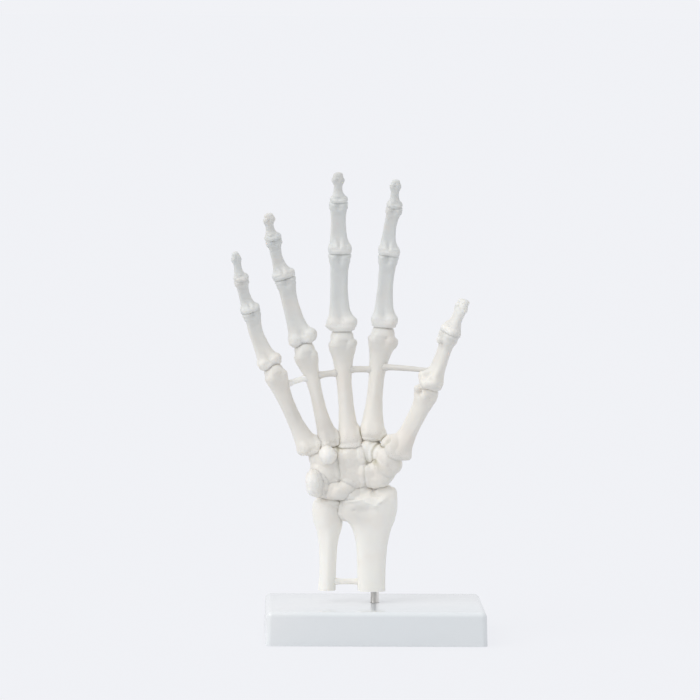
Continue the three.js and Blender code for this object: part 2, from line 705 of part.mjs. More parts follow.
const forearmTieLevel = levelCut + tie.forearmHeight;
const forearmTie = [
  vector(-ulna.apart + ulna.rows[0].across + ulna.rows[0].width / 2 - tie.seat, ulna.behind * 0.5, forearmTieLevel),
  vector(radius.rows[0].across - radius.rows[0].width / 2 + tie.seat, ulna.behind * 0.5, forearmTieLevel),
];
add(
  "tie_radius_ulna",
  barGeometry(forearmTie[0], forearmTie[1], [tie.forearmRadius, tie.forearmRadius], 0),
  new THREE.Object3D(),
  bonePlastic,
);

// Post, standing in the plinth's boss and reaching up into the radius

const postLength = post.inPlinth + post.exposed + post.inRadius;
const postFrame = frameAt(vector(0, 0, levelPlinthTop - post.inPlinth + postLength / 2));
add(
  "post",
  rodGeometry(post.diameter, postLength, facets.postSides),
  postFrame,
  steel,
  rodGeometry(post.diameter + 2 * seam, postLength + 2 * seam, facets.postSides),
);

// Forearm and carpal bones

for (const [name, heading] of [["lunate", 150], ["scaphoid", 184]]) {
  const way = course(heading);
  const at = carpalCentres[name].clone().addScaledVector(way, pebbleReach(carpals[name], way));
  addPin(`${name}_radius_pin`, at, way);
}

for (const [name, carpal] of Object.entries(carpals)) {
  const frame = frameAt(carpalCentres[name], carpal);
  const shapes = [pebbleSkin(carpal)];
  if (name === "hamate") {
    const place = vector(hook.across, hook.back, hook.up).applyAxisAngle(vector(0, 1, 0), -radians(carpal.lean));
    const round = pebbleSkin({ size: hook.size, square: 2.3, lean: 0, taper: 0, bumps: [] });
    shapes.push(round.translate(place.x, place.y, place.z));
  }
  add(name, joined(shapes), frame, bonePlastic, joined(shapes.map((shape) => grown(shape))));
}

add(
  "ulna",
  boneSkin(forearmForm(ulna.rows, 2.4, ulna.headRise, [ulna.styloid]), facets.metacarpalSides),
  frameAt(vector(-ulna.apart, ulna.behind, levelCut)),
  bonePlastic,
);
add(
  "radius",
  boneSkin(forearmForm(radius.rows, 3.6, radius.rimRise, [radius.styloid, radius.ridge]), facets.forearmSides),
  frameAt(vector(0, 0, levelCut)),
  bonePlastic,
);

// Metacarpals and phalanges

for (const [name, { bone, form, start }] of Object.entries(longBones)) {
  const sides = bone.kind === "metacarpal" ? facets.metacarpalSides : facets.phalanxSides;
  add(name, boneSkin(form, sides), frameAt(start, bone), bonePlastic);
}

// Plinth: a thin moulding, open below, with a boss for the post and ribs out to its walls

function roundedOutline(width, depth, corner) {
  const points = [];
  for (let quarter = 0; quarter < 4; quarter++) {
    const right = quarter === 0 || quarter === 3 ? 1 : -1;
    const back = quarter < 2 ? 1 : -1;
    for (let step = 0; step <= facets.cornerSteps; step++) {
      const angle = (quarter + step / facets.cornerSteps) * (Math.PI / 2);
      points.push([
        right * (width / 2 - corner) + corner * Math.cos(angle),
        back * (depth / 2 - corner) + corner * Math.sin(angle),
      ]);
    }
  }
  return points;
}

function trayGeometry(width, depth, height, corner, edge, draft, bottom) {
  const rings = [[bottom, 0], [height - edge, draft]];
  for (let step = 1; step <= facets.cornerSteps; step++) {
    const angle = (step / facets.cornerSteps) * (Math.PI / 2);
    rings.push([height - edge + edge * Math.sin(angle), draft + edge * (1 - Math.cos(angle))]);
  }
  return skin(
    rings.map(([z, inset]) =>
      roundedOutline(width - 2 * inset, depth - 2 * inset, Math.max(corner - inset * 0.5, 0.5)).map(([x, y]) =>
        vector(x, y, z),
      ),
    ),
    vector(0, 0, bottom),
    vector(0, 0, height),
  );
}

function plinthGeometry() {
  const { width, depth, height, cornerRadius, edgeRadius, draft, wall, bossRadius, ribThickness } = plinth;
  const inner = Math.max(edgeRadius - wall, 0.6);
  const outside = solidOf(trayGeometry(width, depth, height, cornerRadius, edgeRadius, draft, 0));
  const hollow = solidOf(
    trayGeometry(
      width - 2 * wall, depth - 2 * wall, height - wall, Math.max(cornerRadius - wall, 0.8), inner, draft, -1,
    ),
  );
  const boss = rodGeometry(2 * bossRadius, height - wall / 2, facets.postSides).translate(0, 0, (height - wall / 2) / 2);
  const ribHeight = height * 0.6;
  const ribUp = height - wall / 2 - ribHeight / 2;
  const ribs = [
    new THREE.BoxGeometry(width - 2 * wall, ribThickness, ribHeight).translate(0, 0, ribUp),
    new THREE.BoxGeometry(ribThickness, depth - 2 * wall, ribHeight).translate(0, 0, ribUp),
  ];
  let solid = outside.subtract(hollow);
  for (const piece of [boss, ...ribs]) solid = solid.add(solidOf(piece));
  return geometryOf(solid);
}

add("plinth", plinthGeometry(), new THREE.Object3D(), plinthPlastic);

// The model: the plinth, the post and the hand, whose bones hang together

const model = new THREE.Group();
const hand = new THREE.Group();
const stand = new THREE.Group();
for (const { name, frame, material, solid } of pieces) {
  frame.updateMatrixWorld(true);
  const geometry = geometryOf(solid).applyMatrix4(frame.matrixWorld.clone().invert());
  geometry.computeVertexNormals();
  const mesh = new THREE.Mesh(geometry, material);
  mesh.name = name;
  mesh.position.copy(frame.position);
  mesh.quaternion.copy(frame.quaternion);
  (name === "plinth" || name === "post" ? stand : hand).add(mesh);
}
model.add(stand, hand);

export default model;
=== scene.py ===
"""Looks for a life-size skeleton of a right hand that lifts off a post and turns on it.

The palm faces -Y and the thumb +X. Every casting is shaped in millimetres, seated on the castings
made before it, and then put where the solids stand, in metres.
"""

import logging
import math
from dataclasses import dataclass, field
from enum import Enum

import bmesh
import bpy
import numpy as np
from mathutils import Matrix, Vector, noise
from mathutils.bvhtree import BVHTree


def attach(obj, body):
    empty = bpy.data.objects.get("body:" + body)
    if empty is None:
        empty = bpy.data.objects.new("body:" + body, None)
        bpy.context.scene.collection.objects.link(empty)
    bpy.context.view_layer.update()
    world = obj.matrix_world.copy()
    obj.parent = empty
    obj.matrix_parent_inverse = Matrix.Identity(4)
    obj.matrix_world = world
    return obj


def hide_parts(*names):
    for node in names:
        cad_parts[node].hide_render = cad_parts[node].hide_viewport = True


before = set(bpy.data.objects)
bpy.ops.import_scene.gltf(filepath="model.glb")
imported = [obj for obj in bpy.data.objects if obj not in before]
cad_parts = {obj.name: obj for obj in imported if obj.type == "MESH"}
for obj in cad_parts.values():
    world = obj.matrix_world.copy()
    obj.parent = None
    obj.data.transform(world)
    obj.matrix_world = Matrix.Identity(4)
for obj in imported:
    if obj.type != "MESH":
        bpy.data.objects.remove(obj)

Array = np.ndarray
BMesh = bmesh.types.BMesh
Node = bpy.types.Node
Socket = bpy.types.NodeSocket
Material = bpy.types.Material
Pair = tuple[float, float]
Triple = tuple[float, float, float]
Colour = tuple[float, float, float, float]

log = logging.getLogger("hand")

MM = 0.001
CUT_LEVEL = 27.6  # height of the forearm's saw cut over the floor
SINK = 0.12  # how far a casting reaches into the ones that it is moulded to


class Slot(Enum):
    """The record's material slots."""

    BONE = "bone"
    PLINTH = "plinth"
    STEEL = "steel"


class Body(Enum):
    """The bodies that pieces ride on."""

    STAND = "stand"
    POST = "post"
    HAND = "hand"


class Kind(Enum):
    """The kinds of finger bone, from the wrist out."""

    METACARPAL = "metacarpal"
    PROXIMAL = "proximal"
    MIDDLE = "middle"
    DISTAL = "distal"


class Easing(Enum):
    """How a value runs from one end of its range to the other."""

    SMOOTH = "SMOOTHSTEP"
    EVEN = "LINEAR"


class Sum(Enum):
    """What is worked out from two or three values."""

    TIMES = "MULTIPLY"
    TIMES_PLUS = "MULTIPLY_ADD"
    GREATEST = "MAXIMUM"


# Small maths


def mix(a: float, b: float, share: float) -> float:
    """The value a share of the way from a to b."""
    return a + (b - a) * share


def ease(share: Array | float) -> Array | float:
    """A share from 0 to 1, eased at both ends."""
    return share * share * (3 - 2 * share)


def bell(distance: Array, spread: float, edge: float = 2.0) -> Array:
    """A swell of 1 at no distance, which dies away past the spread, sooner with a higher edge."""
    return np.exp(-(np.abs(distance / spread) ** edge))


def around(angle: Array, side: Array | float) -> Array:
    """The turn in degrees from a side to each angle, by the shorter way."""
    return (angle - side + 180.0) % 360.0 - 180.0


def through(heights: Array, values: Array, z: Array) -> Array:
    """A smooth curve through a column of values, without overshoot.

    Args:
        heights: Where the values stand, rising.
        values: The values there.
        z: Where the curve is read.

    Returns:
        The curve at each z, level beyond both ends.
    """
    slopes = np.diff(values) / np.diff(heights)
    before, after = slopes[:-1], slopes[1:]
    total = np.where(before * after > 0, before + after, 1.0)
    inner = np.where(before * after > 0, 2 * before * after / total, 0.0)
    tangents = np.concatenate([slopes[:1], inner, slopes[-1:]])
    i = np.clip(np.searchsorted(heights, z, side="right") - 1, 0, len(slopes) - 1)
    span = heights[i + 1] - heights[i]
    t = np.clip((z - heights[i]) / span, 0.0, 1.0)
    return (
        (1 + 2 * t) * (1 - t) ** 2 * values[i]
        + t * (1 - t) ** 2 * span * tangents[i]
        + ease(t) * values[i + 1]
        + t * t * (t - 1) * span * tangents[i + 1]
    )


def turned(lean: float, bend: float = 0.0, roll: float = 0.0) -> Array:
    """The turn of a bone, in degrees.

    Args:
        lean: Towards the thumb, applied last.
        bend: Towards the palm.
        roll: About the bone itself, applied first.

    Returns:
        The turn as a 3 by 3 array.
    """
    steps = [(lean, "Y"), (bend, "X"), (roll, "Z")]
    y, x, z = (np.array(Matrix.Rotation(math.radians(angle), 3, axis)) for angle, axis in steps)
    return y @ x @ z


def course(heading: float, forward: float = 0.0) -> Array:
    """The direction towards the thumb by one angle and forward to the palm by the other."""
    a, b = math.radians(heading), math.radians(forward)
    return np.array([math.cos(b) * math.sin(a), -math.sin(b), math.cos(b) * math.cos(a)])


def unit(direction: Triple) -> Array:
    """A direction of length 1."""
    return np.array(direction) / np.linalg.norm(direction)


def grain(points: Array, size: float, seed: float, depth: int = 2) -> Array:
    """Smooth noise from -1 to 1.

    Args:
        points: Where it is read.
        size: About how broad its swells are.
        seed: Which noise it is.
        depth: How many times finer swells are added.

    Returns:
        The noise at each point.
    """
    shift, fade, finer = Vector((seed * 7.3, seed * -3.1, seed * 5.7)), 0.618, 2.0
    return np.array([noise.fractal(Vector(p) / size + shift, fade, finer, depth) for p in points])


# Finishes


def tone(red: int, green: int, blue: int) -> Colour:
    """A light colour written as on a screen, up to 255, as the shaders take it."""
    return (*(((value / 255 + 0.055) / 1.055) ** 2.4 for value in (red, green, blue)), 1.0)


class Sheet:
    """The nodes of a material or a world, laid out link by link."""

    def __init__(
        self, owner: Material | bpy.types.World, space: str = "Object", bare: bool = False
    ) -> None:
        """Starts on a material or a world.

        Args:
            owner: What the nodes belong to.
            space: The coordinates that its patterns lie on.
            bare: Whether the nodes that it came with are taken out.
        """
        owner.use_nodes = True
        self.owner, self.tree = owner, owner.node_tree
        if bare:
            self.tree.nodes.clear()
        self.coords = self.node("TexCoord").outputs[space]

    def feed(self, socket: Socket, value: object) -> None:
        """Links an output to a socket, or sets the socket's own value.

        Args:
            socket: The input.
            value: An output, or a number, colour or vector.
        """
        if isinstance(value, Socket):
            self.tree.links.new(value, socket)
        else:
            socket.default_value = value

    def give(self, node: Node, given: dict[str, object]) -> None:
        """Sets a node up.

        Args:
            node: The node.
            given: Its settings in small letters, and its sockets with capitals and _ for a space.
        """
        for name, value in given.items():
            if name.islower():
                setattr(node, name, value)
            else:
                self.feed(node.inputs[name.replace("_", " ")], value)

    def node(self, kind: str, **given: object) -> Node:
        """Adds a node.

        Args:
            kind: The node's type, without its prefix.
            given: What give() takes.

        Returns:
            The new node.
        """
        made = self.tree.nodes.new(f"ShaderNode{kind}")
        self.give(made, given)
        return made

    def surface(self, **given: object) -> Material:
        """Feeds the main shader.

        Args:
            given: What give() takes.

        Returns:
            The finished material.
        """
        self.give(self.tree.nodes["Principled BSDF"], given)
        return self.owner

    def noise(self, scale: float, detail: float = 2.0, stretch: Triple = (1, 1, 1)) -> Socket:
        """Noise with so many swells to the metre, or more along an axis with a higher stretch."""
        place = self.node("Mapping", Vector=self.coords, Scale=stretch).outputs[0]
        return self.node("TexNoise", Vector=place, Scale=scale, Detail=detail).outputs[0]

    def cells(self, scale: float) -> Socket:
        """The distance to the nearest of scattered points, so many to the metre."""
        return self.node("TexVoronoi", Vector=self.coords, Scale=scale).outputs["Distance"]

    def trait(self, name: str) -> Socket:
        """A value that the mesh carries at its corners."""
        return self.node("Attribute", attribute_name=name).outputs["Fac"]

    def ranged(
        self, value: object, given: Pair, to: Pair = (0.0, 1.0), easing: Easing = Easing.SMOOTH
    ) -> Socket:
        """Maps a range of values to another, clamped at its ends.

        Args:
            value: What is mapped.
            given: The range that it comes in.
            to: The new range.
            easing: How it runs from one end to the other.

        Returns:
            The mapped value.
        """
        made = self.node("MapRange", interpolation_type=easing.value)
        for socket, content in zip(made.inputs, (value, *given, *to)):
            self.feed(socket, content)
        return made.outputs[0]

    def maths(self, what: Sum, *values: object) -> Socket:
        """Works out a value.

        Args:
            what: What is worked out.
            values: The two or three values that it takes.

        Returns:
            The outcome.
        """
        made = self.node("Math", operation=what.value)
        for socket, content in zip(made.inputs, values):
            self.feed(socket, content)
        return made.outputs[0]

    def blend(self, share: object, first: object, second: object) -> Socket:
        """Mixes two colours.

        Args:
            share: How much of the second there is.
            first: A colour.
            second: Another one.

        Returns:
            The mixed colour.
        """
        made = self.node("Mix", data_type="RGBA", Factor=share)
        self.feed(made.inputs[6], first)
        self.feed(made.inputs[7], second)
        return made.outputs[2]

    def bump(self, *layers: tuple[Socket, float]) -> Socket:
        """Relief from several heights.

        Args:
            layers: Each height with its depth in metres.

        Returns:
            The normal.
        """
        under = {}
        for height, depth in layers:
            made = self.node("Bump", Height=height, Distance=depth, Strength=1.0, **under)
            under = {"Normal": made.outputs[0]}
        return under["Normal"]


@dataclass(frozen=True)
class BonePlastic:
    """Cast ivory plastic, soft and waxy, warmer at the wrist than at the fingertips."""

    stub: Colour = tone(247, 244, 238)
    warm: Colour = tone(238, 234, 227)
    cool: Colour = tone(222, 223, 221)
    # the next two are what painted highlights and painted shade mix to, and the tie bars' own paler
    # and greyer tones
    highlight_and_pale: Colour = tone(251, 248, 243)
    shade_and_grey: Colour = tone(206, 203, 198)
    blush: Colour = tone(233, 222, 212)
    # crease_shade: painted shade, dark olive, for the seams between the bones
    crease_shade: Colour = tone(172, 164, 128)
    speck: Colour = tone(172, 169, 158)
    stub_to_warm: Pair = (0.082, 0.092)
    warm_to_cool: Pair = (0.18, 0.25)
    roughness: Pair = (0.38, 0.54)
    waxy: float = 0.35
    waxy_tint: Triple = (1.0, 0.92, 0.8)
    waxy_depth: float = 0.002
    gloss: float = 0.42

    def material(self) -> Material:
        """The finish as a material."""
        sheet = Sheet(bpy.data.materials.new("cast_ivory_plastic"))
        return sheet.surface(
            Base_Color=self.specked_and_shaded(sheet, self.plastic(sheet)),
            Roughness=sheet.ranged(sheet.noise(220.0, 3.0), (0.3, 0.7), self.roughness),
            Normal=self.relief(sheet),
            Specular_IOR_Level=self.gloss,
            Subsurface_Weight=self.waxy,
            Subsurface_Radius=self.waxy_tint,
            Subsurface_Scale=self.waxy_depth,
        )

    def plastic(self, sheet: Sheet) -> Socket:
        """The plastic's colour by height, made paler and greyer where the mesh says: painted
        highlights and painted shade on the bones, and the bars' own tone.

        Args:
            sheet: The material's nodes.

        Returns:
            The colour.
        """
        height = sheet.node("SeparateXYZ", Vector=sheet.coords).outputs[2]
        drift = sheet.maths(Sum.TIMES_PLUS, sheet.noise(18.0), 0.06, height)
        body = sheet.blend(sheet.ranged(drift, self.warm_to_cool), self.warm, self.cool)
        body = sheet.blend(sheet.ranged(height, self.stub_to_warm), self.stub, body)
        # painted highlights and painted shade, and the bars' own tone
        tone_and_light = sheet.trait("tone_and_light")
        body = sheet.blend(sheet.ranged(tone_and_light, (0.0, 1.0), (0.0, 0.9)), body, self.highlight_and_pale)
        body = sheet.blend(sheet.ranged(tone_and_light, (0.0, -1.0), (0.0, 0.6)), body, self.shade_and_grey)
        blotch = sheet.ranged(sheet.noise(48.0, 3.0), (0.5, 0.8), (0.0, 0.38))
        return sheet.blend(blotch, body, self.blush)

    def specked_and_shaded(self, sheet: Sheet, body: Socket) -> Socket:
        """Specks in the coarse patches, and painted shade in the clefts.

        Args:
            sheet: The material's nodes.
            body: The clean plastic's colour.

        Returns:
            The colour with its specks and its painted shade.
        """
        specks = sheet.ranged(sheet.cells(900.0), (0.12, 0.3), (1.0, 0.0))
        specks = sheet.maths(Sum.TIMES, specks, sheet.trait("coarse"))
        body = sheet.blend(sheet.maths(Sum.TIMES, specks, 0.55), body, self.speck)
        patchy = sheet.ranged(sheet.noise(120.0, 3.0), (0.3, 0.6), (0.35, 0.9))
        # painted shade in the clefts, patchy
        cleft_shade = sheet.maths(Sum.TIMES, sheet.trait("crease_shade"), patchy)
        return sheet.blend(cleft_shade, body, self.crease_shade)

    def relief(self, sheet: Sheet) -> Socket:
        """A soft ripple, a fine grain, and pits in the coarse patches.

        Args:
            sheet: The material's nodes.

        Returns:
            The normal.
        """
        pits = sheet.ranged(sheet.cells(1100.0), (0.1, 0.35))
        pits = sheet.maths(Sum.TIMES, pits, sheet.trait("coarse"))
        ripple, fine = sheet.noise(320.0, 3.0), sheet.noise(2600.0)
        return sheet.bump((ripple, 0.00012), (fine, 0.00002), (pits, 0.00012))


@dataclass(frozen=True)
class PlinthPlastic:
    """Glossy white plastic with a faint cold tint, moulded with a slight ripple."""

    body: Colour = tone(239, 240, 241)
    shade: Colour = tone(234, 237, 239)
    roughness: Pair = (0.1, 0.17)

    def material(self) -> Material:
        """The finish as a material."""
        sheet = Sheet(bpy.data.materials.new("glossy_white_plastic"))
        wear = sheet.noise(60.0, 4.0, (1, 3, 1))
        return sheet.surface(
            Base_Color=sheet.blend(
                sheet.ranged(sheet.noise(9.0), (0.35, 0.65)), self.body, self.shade
            ),
            Roughness=sheet.ranged(wear, (0.45, 0.8), self.roughness),
            Normal=sheet.bump((sheet.noise(70.0, 1.0), 0.00002), (sheet.noise(1800.0), 0.000002)),
        )


@dataclass(frozen=True)
class BrightSteel:
    """Drawn steel rod, polished, with fine scratches round it."""

    body: Colour = tone(232, 229, 226)
    dull: Colour = tone(218, 214, 210)
    roughness: Pair = (0.03, 0.12)

    def material(self) -> Material:
        """The finish as a material."""
        sheet = Sheet(bpy.data.materials.new("polished_steel"))
        scratch = sheet.noise(900.0, 3.0, (0.2, 0.2, 6.0))
        return sheet.surface(
            Base_Color=sheet.blend(scratch, self.body, self.dull),
            Roughness=sheet.ranged(scratch, (0.3, 0.7), self.roughness),
            Normal=sheet.bump((scratch, 0.000004)),
            Metallic=1.0,
        )


# Shapes


class Shape:
    """A closed bmesh in millimetres, with its corners as an array."""

    def __init__(self, mesh: BMesh) -> None:
        """Takes over a bmesh."""
        self.mesh = mesh
        self.points = np.array([vert.co[:] for vert in mesh.verts])

    @classmethod
    def ball(cls, segments: int, rings: int) -> "Shape":
        """A unit sphere with its poles along Z.

        Args:
            segments: Its faces round Z.
            rings: Its faces from pole to pole.

        Returns:
            The sphere.
        """
        mesh = bmesh.new()
        bmesh.ops.create_uvsphere(mesh, u_segments=segments, v_segments=rings, radius=1.0)
        return cls(mesh)

    def spread(self) -> tuple[Array, Array]:
        """The turn round Z in radians and the share of the way from the lower pole, on a ball."""
        x, y, z = self.points.T
        return np.arctan2(y, x), 1 - np.arccos(np.clip(z, -1, 1)) / math.pi

    def put(self, points: Array) -> None:
        """Moves the corners to the given points.

        Args:
            points: Where each corner goes.
        """
        self.points = points
        for vert, point in zip(self.mesh.verts, points):
            vert.co = point

    def push(self, amount: Array) -> None:
        """Moves each corner out of the skin by its amount."""
        self.put(self.points + amount[:, None] * self.normals())

    def normals(self) -> Array:
        """The outward direction at each corner."""
        self.mesh.normal_update()
        return np.array([vert.normal[:] for vert in self.mesh.verts])

    def fused(self, others: list["Shape"], voxel: float, smoothing: int) -> "Shape":
        """One skin round this shape and the others, which blends where they meet.

        Args:
            others: Closed shapes that reach into this one.
            voxel: How fine the new skin is, in millimetres.
            smoothing: How many times it is smoothed.

        Returns:
            The new shape.
        """
        data = bpy.data.meshes.new("rough")
        for other in others:
            other.mesh.to_mesh(data)
            self.mesh.from_mesh(data)
            other.mesh.free()
        self.mesh.to_mesh(data)
        self.mesh.free()
        rough = bpy.data.objects.new("rough", data)
        bpy.context.scene.collection.objects.link(rough)
        remesh = rough.modifiers.new("skin", "REMESH")
        remesh.mode, remesh.voxel_size = "VOXEL", voxel
        whole = bmesh.new()
        whole.from_object(rough, bpy.context.evaluated_depsgraph_get())
        bpy.data.objects.remove(rough)
        bpy.data.meshes.remove(data)
        axes = {f"use_axis_{axis}": True for axis in "xyz"}
        for _ in range(smoothing):
            bmesh.ops.smooth_vert(whole, verts=whole.verts, factor=0.5, **axes)
        return Shape(whole)


@dataclass(frozen=True)
class Lump:
    """A swelling on a long bone, or a dent where its size is negative.

    Side is in degrees round the bone: 0 faces the thumb, 90 the back, 180 the little finger and 270
    the palm. Heights are shares of the bone's length, and sizes are for a base 16 mm wide.
    """

    z: float
    side: float
    size: float
    long: float
    wide: float
    slant: float = 0.0
    edge: float = 2.0

    def swell(self, share: Array, turn: Array) -> Array:
        """How high it stands.

        Args:
            share: The heights, as shares of the bone's length.
            turn: The turns round the bone, in degrees.

        Returns:
            Its height at each place.
        """
        off = around(turn, self.side + self.slant * (share - self.z))
        along = bell(share - self.z, self.long, self.edge)
        return self.size * along * bell(off, self.wide, self.edge)


@dataclass(frozen=True)
class Coarse:
    """A rough patch on a long bone, with its height, reach and side, and how deep it goes in mm."""

    z: float
    long: float
    side: float
    wide: float
    depth: float

    def roughness(self, share: Array, turn: Array) -> Array:
        """How rough it makes each place, given as for a lump."""
        along = bell(share - self.z, self.long, 3)
        return along * bell(around(turn, self.side), self.wide, 4) * self.depth


@dataclass(frozen=True)
class Nub:
    """A rounded nodule that is fused to a casting, with its place, full size and lean."""

    at: Triple
    size: Triple
    lean: float = 0.0

    def shape(self, start: Array) -> Shape:
        """The nodule by itself.

        Args:
            start: Where the casting that it belongs to starts.

        Returns:
            The shape.
        """
        ball = Shape.ball(24, 16)
        place = start + np.array(self.at)
        ball.put((ball.points * np.array(self.size) / 2) @ turned(self.lean).T + place)
        return ball


class Seats:
    """The castings made so far, which each later one is cut back from."""

    tries = 4  # how often a corner is drawn back
    clear = 0.02  # how far past a skin it first lands
    facing = 0.1  # least slope of its way out that it keeps to
    steepest = 0.35  # least slope that its step is worked out from

    def __init__(self) -> None:
        """Starts with none."""
        self.made: list[tuple[str, BVHTree, Array, Array]] = []

    def add(self, name: str, shape: Shape) -> None:
        """Keeps a finished casting."""
        tree = BVHTree.FromBMesh(shape.mesh)
        self.made.append((name, tree, shape.points.min(0), shape.points.max(0)))

    def near(self, points: Array, reach: float, but: str = "") -> list[tuple[BVHTree, Array]]:
        """Finds the castings whose boxes hold some of the points.

        Args:
            points: The points.
            reach: How far past its box a casting counts.
            but: The name of one that is left out.

        Returns:
            Each casting's tree, with the numbers of the points in its box.
        """
        found = []
        for name, tree, low, high in self.made:
            inside = np.all((points > low - reach) & (points < high + reach), axis=1)
            if name != but and inside.any():
                found.append((tree, np.nonzero(inside)[0]))
        return found

    def fit(self, points: Array, cores: Array) -> Array:
        """Draws the points that reach far into earlier castings back to just under their skins.

        Args:
            points: The corners of the new casting.
            cores: The point inside the casting that each corner is drawn towards.

        Returns:
            The corners as they end up.
        """
        moved = points.copy()
        for tree, chosen in self.near(points, SINK):
            for i in chosen:
                moved[i] = self.drawn(tree, Vector(moved[i]), Vector(cores[i]))
        return moved

    def drawn(self, tree: BVHTree, point: Vector, core: Vector) -> Vector:
        """Draws one corner back.

        Args:
            tree: The earlier casting.
            point: The corner.
            core: The point that it is drawn towards.

        Returns:
            The corner's new place.
        """
        inward = (core - point).normalized()
        for _ in range(self.tries):
            place, normal, _, _ = tree.find_nearest(point)
            depth = (point - place).dot(normal)
            if depth >= -SINK:
                break
            hit = tree.ray_cast(point, inward)[0]
            if hit is not None and (hit - point).length < (core - point).length:
                point = hit + inward * self.clear
                continue
            slope = inward.dot(normal)
            way = inward / max(slope, self.steepest) if slope > self.facing else normal
            point = point - way * (SINK + depth)
        return point

    def closeness(self, points: Array, but: str, reach: float) -> Array:
        """How near each point lies to the other castings.

        Args:
            points: The points of a casting.
            but: The casting's own name.
            reach: How far it looks.

        Returns:
            From 0 past the reach to 1 at a touch.
        """
        least = np.full(len(points), reach)
        for tree, chosen in self.near(points, reach, but):
            for i in chosen:
                distance = tree.find_nearest(Vector(points[i]), reach)[3]
                if distance is not None:
                    least[i] = min(least[i], distance)
        return 1 - least / reach


@dataclass
class Casting:
    """A finished shape with what its surface carries, and the piece that is made from it."""

    name: str
    shape: Shape
    coarse: Array
    replaces: str
    body: Body = Body.HAND
    slot: Slot = Slot.BONE
    sharp: float = 180.0
    crease_shade: Array | None = None
    tone_and_light: Array | None = None

    def cast(self, material: Material) -> bpy.types.Object:
        """Puts the piece into the scene in metres, on its body and in its node's place.

        Args:
            material: Its finish.

        Returns:
            The piece.
        """
        mesh = self.shape.mesh
        bmesh.ops.scale(mesh, vec=(MM, MM, MM), verts=mesh.verts)
        bmesh.ops.recalc_face_normals(mesh, faces=mesh.faces)
        data = bpy.data.meshes.new(self.name)
        mesh.to_mesh(data)
        mesh.free()
        data.shade_smooth()
        if self.sharp < 180:
            data.set_sharp_from_angle(angle=math.radians(self.sharp))
        for trait in ("coarse", "crease_shade", "tone_and_light"):
            values = getattr(self, trait)
            if values is not None:
                layer = data.attributes.new(trait, "FLOAT", "POINT")
                layer.data.foreach_set("value", values.astype(np.float32))
        data.materials.append(material)
        piece = bpy.data.objects.new(self.name, data)
        bpy.context.scene.collection.objects.link(piece)
        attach(piece, self.body.value)
        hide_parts(self.replaces)
        return piece


# Long bones


class Column(Enum):
    """What the rows of a long bone's form hold, in order."""

    Z = 0
    HALF_WIDTH = 1
    BACK = 2
    PALM = 3
    BACK_SQUARE = 4
    PALM_SQUARE = 5
    X = 6
    Y = 7
    TILT = 8


